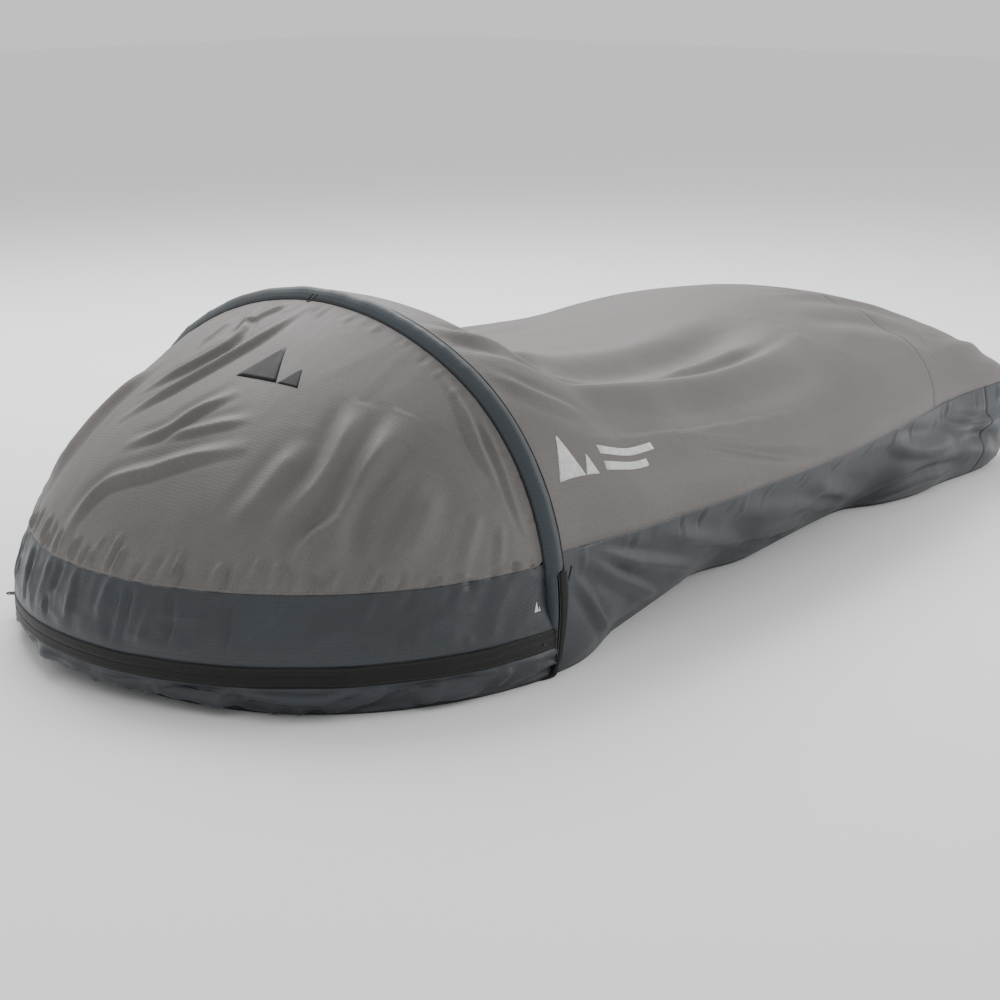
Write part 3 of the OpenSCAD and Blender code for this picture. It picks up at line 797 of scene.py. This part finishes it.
def sleeve_line(x, lift):
    """Line on the sleeve at a given distance behind the hoop's plane."""
    return arch_path(SLEEVE_OPEN, 420, lift, x)[:2]


def make_foot_strap(side, webbing):
    """Webbing from the sleeve's end down past the pole's tip, then forward on the ground."""
    line = smooth_line([(.0040, -.4535, .153), (.0045, -.4560, .125), (.0040, -.4560, .090),
                        (.0025, -.4540, .055), (.0005, -.4490, .022), (-.0050, -.4440, .0065),
                        (-.0180, -.4395, .0032), (-.0380, -.4310, .0028)], 70)
    line[:, 1] *= -side
    tangents = unit(np.gradient(line, axis=0))
    t = np.linspace(0, 1, len(line))
    outward = np.stack([0 * t, side + 0 * t, 0.15 + 0 * t], -1)
    flat = smoothstep((t - 0.72) / 0.16)[:, None]
    outward = outward * (1 - flat) + np.array([0.0, 0.35 * side, 1.0]) * flat
    normals = unit(outward - tangents * np.sum(outward * tangents, axis=1, keepdims=True))
    half = np.interp(t, (0, 0.15, 0.55, 0.72, 1), (0.0085, 0.0090, 0.0060, 0.0048, 0.0046))
    rows = [((-h, -0.0006), (-h, 0.0006), (-h * 0.5, 0.0010), (0, 0.0011), (h * 0.5, 0.0010),
             (h, 0.0006), (h, -0.0006), (0, -0.0004)) for h in half]
    profile = np.array(rows)
    name = "foot_webbing_near" if side < 0 else "foot_webbing_far"
    if side < 0:
        profile[..., 0] *= -1
    return swept(name, line, normals, profile, webbing)


# --- zip ------------------------------------------------------------------------

def make_coil(name, z, material):
    """Nylon coil sewn behind one half of the tape: a flattened helix of one turn a pitch."""
    pitch, turn_points = 0.0017, 6
    length = 2 * ARC_SWEEP * ZIP_R
    count = int(length / pitch) * turn_points
    t = np.arange(count) * 2 * math.pi / turn_points
    u = np.linspace(0.012, 0.988, count)
    a = ARC_SWEEP * (2 * u - 1)
    r = ZIP_R - 0.0012 + 0.00065 * np.cos(t)
    path = np.stack([-ZIP_BACK - r * np.cos(a), r * np.sin(a), z + 0.0010 * np.sin(t)], -1)
    normals = np.stack([-np.cos(a), np.sin(a), 0 * a], -1)
    return swept(name, path, normals, round_profile(0.00036, 4), material)


# --- generic printed marks --------------------------------------------------------

def peak(a, b, width, height):
    """Plain solid triangle with a narrow flat top, standing on (a, b)."""
    tip = 0.02 * width
    return ((a - width / 2, b), (a + width / 2, b), (a + tip, b + height), (a - tip, b + height))


def bar(a, b, width, height, slant=0.0):
    return ((a, b), (a + width, b + slant), (a + width, b + height + slant), (a, b + height))


def make_mark(name, grid, centre, scale, quads, ink):
    """Printed shapes laid on a grid of cloth. centre is (row, column) of the shape's zero
    and scale is (rows, columns) per metre along the shape's own two directions."""
    points, faces, rims, cells = [], [], [], 10
    middle = tuple(int(c) for c in centre)
    turn = np.linalg.det(scale) * (slope_normals(grid.points)[middle] @ grid.normals[middle])
    for quad in quads:
        q = np.array(quad, float)
        x, y = q.T
        if np.sum(x * np.roll(y, -1) - np.roll(x, -1) * y) * turn < 0:
            q = q[::-1]
        s, t = np.meshgrid(np.linspace(0, 1, cells), np.linspace(0, 1, cells), indexing="ij")
        s, t = s[..., None], t[..., None]
        flat = ((q[0] * (1 - s) + q[1] * s) * (1 - t) + (q[3] * (1 - s) + q[2] * s) * t)
        i = centre[0] + flat[..., 0] * scale[0][0] + flat[..., 1] * scale[0][1]
        j = centre[1] + flat[..., 0] * scale[1][0] + flat[..., 1] * scale[1][1]
        p, n = grid.at(i, j)
        start = sum(len(part) for part in points)
        points += [(p + n * MARK_PROUD).reshape(-1, 3), p.reshape(-1, 3)]
        faces += [grid_faces(cells, cells, start),
                  grid_faces(cells, cells, start + cells * cells, True)]
        rims.append(rim_faces(cells, cells, start))
    return new_object(name, np.concatenate(points), np.concatenate(faces + rims), ink,
                      rim=sum(len(r) for r in rims))


# --- materials --------------------------------------------------------------------

class Nodes:
    """Short way to build a node material."""

    def __init__(self, name, rough=0.5, specular=0.5, sheen=0.0):
        self.material = bpy.data.materials.new(name)
        self.material.use_nodes = True
        self.tree = self.material.node_tree
        self.shader = self.tree.nodes["Principled BSDF"]
        for key, value in (("Roughness", rough), ("Specular IOR Level", specular),
                           ("Sheen Weight", sheen), ("Sheen Roughness", 0.4)):
            self.shader.inputs[key].default_value = value

    def add(self, kind, **values):
        node = self.tree.nodes.new("ShaderNode" + kind)
        for key, value in values.items():
            if key in node.inputs:
                node.inputs[key].default_value = value
            else:
                setattr(node, key, value)
        return node

    def link(self, out, socket):
        self.tree.links.new(out, socket)

    def scaled(self, out, scale):
        mapping = self.add("Mapping")
        mapping.inputs["Scale"].default_value = scale
        self.link(out, mapping.inputs["Vector"])
        return mapping.outputs["Vector"]

    def pattern(self, scale):
        """Pattern coordinates of the cloth, in metres, scaled."""
        return self.scaled(self.add("Attribute", attribute_name="pattern").outputs["Vector"], scale)

    def place(self, scale):
        """Object coordinates in metres, scaled."""
        return self.scaled(self.add("TexCoord").outputs["Object"], scale)

    def noise(self, vector, detail=2.0, rough=0.5):
        node = self.add("TexNoise", Scale=1.0, Detail=detail, Roughness=rough)
        self.link(vector, node.inputs["Vector"])
        return node.outputs["Fac"]

    def grain(self, per_m, detail=2.0, rough=0.5):
        """Noise with the same scale all ways."""
        return self.noise(self.place((per_m,) * 3), detail, rough)

    def bands(self, vector, direction="X"):
        node = self.add("TexWave", wave_type="BANDS", bands_direction=direction, Scale=1.0)
        self.link(vector, node.inputs["Vector"])
        return node.outputs["Fac"]

    def ribs(self, per_m, direction):
        """Bands across the cloth's pattern, so many to the metre."""
        scale = (per_m * BAND_PERIOD, 1, 1) if direction == "X" else (1, per_m * BAND_PERIOD, 1)
        return self.bands(self.pattern(scale), direction)

    def math(self, operation, a, b):
        node = self.add("Math", operation=operation)
        for socket, value in zip(node.inputs, (a, b)):
            if isinstance(value, (int, float)):
                socket.default_value = value
            else:
                self.link(value, socket)
        return node.outputs[0]

    def between(self, fac, low, high, low_at=0.0, high_at=1.0):
        """Colour or number that runs from low to high as fac runs between two values."""
        node = self.add("ValToRGB")
        ramp = node.color_ramp
        ramp.elements[0].position, ramp.elements[1].position = low_at, high_at
        for element, value in zip(ramp.elements, (low, high)):
            element.color = (*value, 1) if hasattr(value, "__len__") else (value,) * 3 + (1,)
        self.link(fac, node.inputs["Fac"])
        return node.outputs["Color"]

    def mixed(self, fac, a, b, blend="MIX"):
        node = self.add("Mix", data_type="RGBA", blend_type=blend)
        for socket, value in ((node.inputs[0], fac), (node.inputs[6], a), (node.inputs[7], b)):
            if isinstance(value, (int, float)):
                socket.default_value = value
            elif isinstance(value, tuple):
                socket.default_value = (*value, 1)
            else:
                self.link(value, socket)
        return node.outputs[2]

    def colour(self, out):
        self.link(out, self.shader.inputs["Base Color"])

    def roughness(self, out):
        self.link(out, self.shader.inputs["Roughness"])

    def worn(self, fac, amount, low):
        """Roughness from low upwards, by amount where fac is 1."""
        self.roughness(self.math("ADD", self.math("MULTIPLY", fac, amount), low))

    def speckled(self, base, grain):
        """Base colour multiplied by a grain."""
        self.colour(self.mixed(1.0, base, grain, "MULTIPLY"))

    def bump(self, height, distance, strength, before=None):
        node = self.add("Bump", Distance=distance, Strength=strength)
        self.link(height, node.inputs["Height"])
        if before is not None:
            self.link(before, node.inputs["Normal"])
        return node.outputs["Normal"]

    def normal(self, out):
        self.link(out, self.shader.inputs["Normal"])


def shade(colour, factor):
    return tuple(min(c * factor, 1.0) for c in colour)


def ripstop(name, colour, dusty, rough, grid_pitch, grid_shade, specular, sheen):
    """Coated nylon ripstop: plain weave, a grid of thicker yarns, small slubs and creases."""
    m = Nodes(name, specular=specular, sheen=sheen)
    # Thick yarns both ways together give the ripstop's grid.
    thick = m.math("MAXIMUM", *(m.math("POWER", m.ribs(1 / grid_pitch, way), 14.0)
                                for way in "XY"))
    weave = m.math("MULTIPLY", m.ribs(900, "X"), m.ribs(900, "Y"))
    slub = m.noise(m.pattern((160, 900, 1)), 1.0)
    slub_across = m.noise(m.pattern((900, 160, 1)), 1.0)
    mottle = m.grain(420, 2.0, 0.6)
    cloud = m.grain(7, 3.0, 0.55)
    base = m.between(cloud, shade(colour, 0.93), shade(dusty, 1.05), 0.30, 0.72)
    grain = m.between(mottle, 0.86, 1.14, 0.25, 0.75)
    tone = m.mixed(1.0, base, grain, "MULTIPLY")
    tone = m.mixed(m.math("MULTIPLY", thick, grid_shade), tone, shade(colour, 0.55))
    m.colour(tone)
    wear = m.math("ADD", m.math("MULTIPLY", cloud, 0.16), rough - 0.08)
    m.roughness(m.math("ADD", wear, m.math("MULTIPLY", mottle, 0.05)))
    crinkle = m.grain(55, 4.0, 0.62)
    n = m.bump(crinkle, 0.0011, 0.35)
    n = m.bump(m.math("ADD", slub, slub_across), 0.00012, 0.5, n)
    n = m.bump(thick, 0.00022, 0.7, n)
    m.normal(m.bump(weave, 0.00006, 0.5, n))
    return m.material


def ribbed_tape(name, colour, pitch, rough):
    """Woven tape or webbing: ribs across its length and patches of rougher wear."""
    m = Nodes(name, specular=0.25, sheen=0.15)
    ribs, rows = m.ribs(1 / pitch, "X"), m.ribs(1 / 0.0011, "Y")
    mottle = m.grain(500, 2.0)
    cloud = m.grain(14, 3.0)
    base = m.between(cloud, shade(colour, 0.85), shade(colour, 1.25), 0.3, 0.7)
    m.speckled(base, m.between(mottle, 0.8, 1.25, 0.25, 0.75))
    m.worn(cloud, 0.2, rough - 0.1)
    m.normal(m.bump(m.math("MULTIPLY", ribs, rows), 0.00018, 0.6))
    return m.material


def braided(name, colour):
    """Braided cord: two sets of slanting strands, with painted shade in the grooves between them
    and painted highlight on their crests.
    """
    m = Nodes(name, specular=0.25, sheen=0.25)
    strand_a = m.bands(m.place((260, 260, 260)), "DIAGONAL")
    strand_b = m.bands(m.place((-260, 260, 260)), "DIAGONAL")
    strands_and_groove_shade = m.math("MAXIMUM", strand_a, strand_b)
    fuzz = m.grain(900, 2.0)
    # Colour follows the strands' height: painted shade in the grooves, painted highlight on the
    # crests.
    m.speckled(m.between(strands_and_groove_shade, shade(colour, 0.6), shade(colour, 1.3)),
               m.between(fuzz, 0.8, 1.2))
    m.worn(fuzz, 0.1, 0.75)
    m.normal(m.bump(strands_and_groove_shade, 0.0003, 0.7))
    return m.material


def metal(name, colour, rough, brushed, metallic=1.0):
    """Drawn or cast metal with fine lines and rubbed patches."""
    m = Nodes(name, rough)
    m.shader.inputs["Metallic"].default_value = metallic
    lines = m.noise(m.place((2500, 60, 60) if brushed else (300, 300, 300)), 3.0)
    cloud = m.grain(40, 3.0)
    m.speckled(m.between(cloud, shade(colour, 0.85), shade(colour, 1.15), 0.3, 0.7),
               m.between(lines, 0.9, 1.1))
    m.worn(lines, 0.18, rough - 0.09)
    m.normal(m.bump(lines, 0.00004, 0.4))
    return m.material


def moulded(name, colour, rough):
    """Moulded nylon with a fine matt grain."""
    m = Nodes(name, rough, specular=0.4)
    grain = m.grain(1400, 2.0)
    cloud = m.grain(60, 3.0)
    m.colour(m.between(cloud, shade(colour, 0.8), shade(colour, 1.3), 0.3, 0.7))
    m.worn(grain, 0.2, rough - 0.1)
    m.normal(m.bump(grain, 0.00005, 0.5))
    return m.material


def printed(name, colour, rough):
    """Screen-print ink that lets the cloth's grain through."""
    m = Nodes(name, rough, specular=0.25)
    grain = m.grain(700, 2.0)
    worn = m.grain(130, 4.0, 0.7)
    base = m.between(grain, shade(colour, 0.85), shade(colour, 1.12), 0.25, 0.75)
    m.speckled(base, m.between(worn, 0.85, 1.1, 0.35, 0.6))
    m.worn(worn, 0.15, rough - 0.07)
    m.normal(m.bump(grain, 0.00008, 0.5))
    return m.material


GREY = (0.118, 0.107, 0.102)
GREY_PALE = (0.130, 0.118, 0.112)
SLATE = (0.024, 0.029, 0.034)
SLATE_PALE = (0.029, 0.036, 0.044)
SLEEVE = (0.034, 0.044, 0.053)
TAPE = (0.010, 0.010, 0.0095)
INK = (0.004, 0.004, 0.004)
PALE_INK = (0.62, 0.62, 0.61)

MATERIALS = {
    "grey_ripstop": ripstop("grey_ripstop", GREY, GREY_PALE, 0.50, 0.0055, 0.10, 0.42, 0.10),
    "slate_nylon": ripstop("slate_nylon", SLATE, SLATE_PALE, 0.40, 0.0055, 0.30, 0.50, 0.06),
    "sleeve_nylon": ripstop("sleeve_nylon", SLEEVE, SLEEVE, 0.50, 0.0055, 0.15, 0.45, 0.10),
    "zip_tape": ribbed_tape("zip_tape", TAPE, 0.0016, 0.62),
    "webbing": ribbed_tape("webbing", shade(TAPE, 0.7), 0.0020, 0.70),
    "piping": ribbed_tape("piping", shade(TAPE, 1.3), 0.0016, 0.70),
    "slate_thread": braided("slate_thread", (0.035, 0.042, 0.050)),
    "grey_thread": braided("grey_thread", (0.12, 0.11, 0.105)),
    "cord": braided("cord", (0.012, 0.012, 0.013)),
    "elastic": braided("elastic", (0.62, 0.62, 0.60)),
    "zip_plastic": moulded("zip_plastic", (0.012, 0.012, 0.013), 0.45),
    "tip_plastic": moulded("tip_plastic", (0.014, 0.014, 0.015), 0.50),
    "anodised": metal("anodised", (0.10, 0.11, 0.13), 0.32, True),
    "aluminium": metal("aluminium", (0.70, 0.71, 0.72), 0.30, True),
    "zip_metal": metal("zip_metal", (0.045, 0.045, 0.050), 0.40, False, 0.6),
    "ink": printed("ink", INK, 0.55),
    "pale_ink": printed("pale_ink", PALE_INK, 0.60),
}
CAD_LOOKS = {
    "anodised": [f"pole_section_{i}" for i in range(1, 7)],
    "aluminium": ["pole_ferrules"],
    "tip_plastic": ["pole_tip_left", "pole_tip_right"],
    "elastic": ["shock_cord"],
    "cord": ["sleeve_cord_left", "sleeve_cord_right", "zip_pull_cord", "tie_loop"],
    "zip_metal": ["zip_slider", "zip_pull_tab", "zip_stops"],
    "webbing": ["stake_loop"],
}


def dress_cad_nodes():
    """Gives the CAD nodes that stay in view their own finish."""
    for look, nodes in CAD_LOOKS.items():
        for node in nodes:
            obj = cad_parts[node]
            if not obj.material_slots:
                obj.data.materials.append(MATERIALS[look])
            for material_slot in obj.material_slots:
                material_slot.material = MATERIALS[look]


# --- assembly ---------------------------------------------------------------------

def on_sack(obj, slot):
    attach(obj, "sack")
    return obj


def on_door(obj, slot):
    """Door pieces: the object's transform is baked into its mesh."""
    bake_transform(obj)
    return obj


def make_head():
    """Door, zip and the wall under it."""
    band, panel, panel_u = build_door()
    wall = build_wall()
    slate, grey = MATERIALS["slate_nylon"], MATERIALS["grey_ripstop"]

    wall_piece = on_sack(cloth_piece("head_wall_cloth", wall, slate), "slate_nylon")
    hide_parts("head_wall")

    band_piece = on_door(cloth_piece("door_band_cloth", band, slate), "slate_nylon")
    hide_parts("door_lower_band")

    panel_piece = on_door(cloth_piece("door_panel_cloth", panel, grey), "grey_ripstop")
    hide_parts("door_panel")

    # Zip tapes lie over the edges of the wall and the door.
    rows = np.repeat(np.linspace(0, 1, 9)[None, :], HEAD_COLUMNS, 0)
    a = np.repeat(U[:, None], 9, 1)
    base = tape_surface(a, rows)
    x, y = arc_point(a)
    normals = unit(np.stack([x + ZIP_BACK, y, 0 * x], -1))
    k = np.linspace(0, 1, 9)
    swell = (0.0006 + 0.0009 * np.exp(-((k - 0.5) / 0.16) ** 2)
             - 0.0009 * np.exp(-((k - 0.5) / 0.03) ** 2))
    base[..., 2] += 0.0012 * noise(a * 22, 0 * a, 101)
    tape = Grid(base + normals * swell[None, :, None], normals,
                spread_pattern(base)[..., [1, 0, 2]])
    lower = on_sack(cloth_piece("zip_tape_lower_cloth", tape.part(columns=slice(0, 5)),
                                MATERIALS["zip_tape"], TAPE_THICK), "black_tape")
    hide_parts("zip_tape_lower")
    upper = on_door(cloth_piece("zip_tape_upper_cloth", tape.part(columns=slice(4, 9)),
                                MATERIALS["zip_tape"], TAPE_THICK), "black_tape")
    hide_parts("zip_tape_upper")
    coil = on_sack(make_coil("coil_lower", ZIP_Z - 0.0016, MATERIALS["zip_plastic"]), "zip_plastic")
    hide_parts("zip_coil_lower")
    coil = on_door(make_coil("coil_upper", ZIP_Z + 0.0016, MATERIALS["zip_plastic"]), "zip_plastic")
    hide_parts("zip_coil_upper")
    for name, column, put in (("stitch_tape_low", 1, on_sack), ("stitch_tape_high", 7, on_door)):
        line = tape.points[2:-2, column] + normals[2:-2, column] * 0.0001
        put(stitches(name, line, normals[2:-2, column], MATERIALS["slate_thread"]), "black_tape")

    # Stitching along the seam between the dark band and the dome.
    line, up = panel.points[:, 1], panel.normals[:, 1]
    on_door(stitches("stitch_door_seam", line, up, MATERIALS["grey_thread"]), "grey_ripstop")
    return band, panel, panel_u, wall


def make_hoop_pieces():
    sleeve = on_sack(make_sleeve(MATERIALS["sleeve_nylon"]), "slate_nylon")
    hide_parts("pole_sleeve")
    for name, x, lift in (("piping_front", -SLEEVE_FRONT, -0.0070),
                          ("piping_back", SLEEVE_BACK, 0.0034)):
        path, normals = sleeve_line(x, lift)
        piping = swept(name, path, normals, round_profile(0.0011), MATERIALS["piping"])
        on_sack(piping, "black_tape")
    front_x = 0.06 * (SLEEVE_FRONT + SLEEVE_BACK) - SLEEVE_FRONT
    for name, x, lift in (("stitch_sleeve_front", front_x, -0.0036),
                          ("stitch_sleeve_back", SLEEVE_BACK - 0.0021, 0.0042)):
        path, normals = sleeve_line(x, lift)
        on_sack(stitches(name, path, normals, MATERIALS["slate_thread"]), "slate_nylon")
    path, normals, _ = arch_path(0.040, 400)
    backing = [(-DOOR_EDGE_X, -0.0058), (SLEEVE_BACK, -0.0058), (SLEEVE_BACK, -0.0064),
               (-DOOR_EDGE_X, -0.0064)]
    for name, side in (("near", -1), ("far", 1)):
        leg = (path[:, 2] < 0.172) & (path[:, 1] * side > 0)
        piece = swept("leg_backing_" + name, path[leg], normals[leg], backing,
                      MATERIALS["slate_nylon"])
        on_sack(piece, "slate_nylon")
    for side, node in ((-1, "foot_strap_right"), (1, "foot_strap_left")):
        strap = on_sack(make_foot_strap(side, MATERIALS["webbing"]), "black_tape")
        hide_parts(node)


def make_body():
    """Top, foot end, side bands and foot band, with their stitching."""
    body = build_body()
    slate, grey = MATERIALS["slate_nylon"], MATERIALS["grey_ripstop"]
    seam_row = int(np.argmin(np.abs(STATIONS - FOOT_SEAM_X)))
    corner_row = int(np.argmin(np.abs(STATIONS - CORNER_X)))
    near, far = SIDE_COLUMNS - 1, SIDE_COLUMNS + TOP_COLUMNS - 3
    top = slice(near, far + 2)

    piece = on_sack(cloth_piece("top_cloth", body.part(slice(0, seam_row + 1), top), grey),
                    "grey_ripstop")
    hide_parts("top_panel")
    piece = on_sack(cloth_piece("foot_end_cloth", body.part(slice(seam_row, None), top), grey),
                    "grey_ripstop")
    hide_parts("foot_end_panel")
    sides = {"near": slice(0, near + 1), "far": slice(far + 1, None)}
    for name, node in (("near", "side_wall_right"), ("far", "side_wall_left")):
        grid = body.part(slice(0, corner_row + 1), sides[name])
        piece = on_sack(cloth_piece(f"side_band_{name}", grid, slate), "slate_nylon")
        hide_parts(node)
    turned = slice(None, None, -1)
    near_half, far_half = (body.part(slice(corner_row, None), sides[s]) for s in ("near", "far"))
    round_foot = joined(near_half, far_half.part(turned, turned))
    piece = on_sack(cloth_piece("foot_band", round_foot, slate), "slate_nylon")
    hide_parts("foot_wall")
    for name, column in (("near", near), ("far", far + 1)):
        shift = 1 if name == "near" else -1
        line, up = body.points[:-3, column + shift], body.normals[:-3, column + shift]
        on_sack(stitches(f"stitch_side_{name}", line, up, MATERIALS["grey_thread"]), "grey_ripstop")
    for name, row in (("a", seam_row + 1), ("b", seam_row + 2)):
        line, up = body.points[row, top], body.normals[row, top]
        on_sack(stitches(f"stitch_foot_{name}", line, up, MATERIALS["grey_thread"]), "grey_ripstop")
    return body


def peaks(width, height):
    """Plain printed sign: a tall solid triangle and a low one beside it."""
    return [peak(-0.14 * width, 0, 0.62 * width, height),
            peak(0.34 * width, 0, 0.30 * width, 0.52 * height)]


def upright(grid, i, j, lean=0.0):
    """Rows and columns per metre of a sign that stands upright at a place on the grid."""
    along = np.stack([grid.points[i + 3, j] - grid.points[i - 3, j],
                      grid.points[i, j + 3] - grid.points[i, j - 3]], -1) / 6
    normal = grid.normals[i, j]
    up = unit(np.array([0.0, 0.0, 1.0]) - normal * normal[2])
    right = np.cross(up, normal)
    c, s = math.cos(lean), math.sin(lean)
    return np.linalg.lstsq(along, np.stack([c * right + s * up, c * up - s * right], -1),
                           rcond=None)[0]


def make_door_marks(band, panel, panel_u):
    """Black sign high on the dome and a small pale one on the dark band by the hoop."""
    i = int(np.argmin(np.abs(panel_u - 0.455)))
    j = int(0.66 * DOOR_ROWS)
    mark = make_mark("sign_door", panel, (i, j), upright(panel, i, j, math.radians(-6)),
                     peaks(0.118, 0.072), MATERIALS["ink"])
    on_door(mark, "grey_ripstop")
    i = int(0.045 * HEAD_COLUMNS)
    j = int(0.45 * BAND_ROWS)
    mark = make_mark("sign_band", band, (i, j), upright(band, i, j), peaks(0.014, 0.013),
                     MATERIALS["pale_ink"])
    on_door(mark, "slate_nylon")


def make_side_mark(body):
    """Pale sign and two plain bars on the near side of the top, behind the hoop."""
    i = int(np.argmin(np.abs(STATIONS - 0.080)))
    j = SIDE_COLUMNS - 1 + 14
    shapes = peaks(0.085, 0.062)
    shapes += [bar(0.058, 0.036, 0.125, 0.016), bar(0.058, 0.006, 0.095, 0.016)]
    mark = make_mark("sign_side", body, (i, j), upright(body, i, j), shapes,
                     MATERIALS["pale_ink"])
    on_sack(mark, "grey_ripstop")


def make_floor(body, wall):
    """Floor sheet, woven across between the lower edges of the walls."""
    middle = len(U) // 2
    head_near = wall.points[:middle + 1, 0][::-1]
    head_far = wall.points[middle:, 0]
    near = np.concatenate([head_near, body.points[:, 0]])
    far = np.concatenate([head_far, body.points[:, -1]])
    across = np.linspace(0, 1, 61)[None, :, None]
    points = near[:, None] * (1 - across) + far[:, None] * across
    x, y = points[..., 0], points[..., 1]
    inside = np.minimum(across[..., 0], 1 - across[..., 0]) * 8
    raised = (0.0016 + 0.0014 * crumple(x / 0.12, y / 0.10, 121)) * smoothstep(inside)
    points[..., 2] = GROUND_GAP + np.maximum(raised, 0)
    down = np.zeros_like(points)
    down[..., 2] = -1
    grid = Grid(points, down, np.stack([x, y, 0 * x], -1))
    piece = on_sack(cloth_piece("floor_cloth", grid, MATERIALS["slate_nylon"]), "slate_nylon")
    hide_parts("floor_sheet")


def make_camera():
    """Camera at the photograph's viewing angle."""
    data = bpy.data.cameras.new("camera")
    data.sensor_width = 36.0
    data.lens = 75.06
    camera = bpy.data.objects.new("camera", data)
    bpy.context.scene.collection.objects.link(camera)
    yaw, pitch = math.radians(41.14), math.radians(-15.062)
    forward = Vector((math.cos(yaw) * math.cos(pitch), math.sin(yaw) * math.cos(pitch),
                      math.sin(pitch)))
    camera.location = (HOOP_X - 2.1088, -2.1840, 0.9897)
    camera.rotation_euler = forward.to_track_quat("-Z", "Y").to_euler()
    bpy.context.scene.camera = camera


def area_light(name, place, aim, size, power_w):
    data = bpy.data.lights.new(name, "AREA")
    data.shape = "RECTANGLE"
    data.size, data.size_y = size
    data.energy = power_w
    light = bpy.data.objects.new(name, data)
    bpy.context.scene.collection.objects.link(light)
    light.location = place
    light.rotation_euler = (Vector(aim) - Vector(place)).to_track_quat("-Z", "Y").to_euler()


def make_studio():
    """Pale floor, white surroundings and soft lights from above, behind and the right."""
    world = bpy.data.worlds.new("studio")
    bpy.context.scene.world = world
    world.use_nodes = True
    background = world.node_tree.nodes["Background"].inputs
    background["Color"].default_value = (1, 1, 1, 1)
    background["Strength"].default_value = 0.85
    area_light("key", (0.9, 1.9, 2.8), (0.1, 0, 0.2), (3.2, 2.2), 150)
    area_light("right", (2.2, -2.4, 1.5), (-0.1, 0, 0.2), (1.6, 1.2), 36)
    mesh = bpy.data.meshes.new("floor_plane")
    s = 14.0
    mesh.from_pydata([(-s, -s, 0), (s, -s, 0), (s, s, 0), (-s, s, 0)], [], [(0, 1, 2, 3)])
    floor = bpy.data.objects.new("floor_plane", mesh)
    bpy.context.scene.collection.objects.link(floor)
    m = Nodes("pale_floor", 0.9, specular=0.1)
    m.shader.inputs["Base Color"].default_value = (0.93, 0.93, 0.93, 1)
    mesh.materials.append(m.material)


make_camera()
make_studio()
dress_cad_nodes()
BAND, PANEL, PANEL_U, WALL = make_head()
make_door_marks(BAND, PANEL, PANEL_U)
make_hoop_pieces()
BODY = make_body()
make_side_mark(BODY)
make_floor(BODY, WALL)
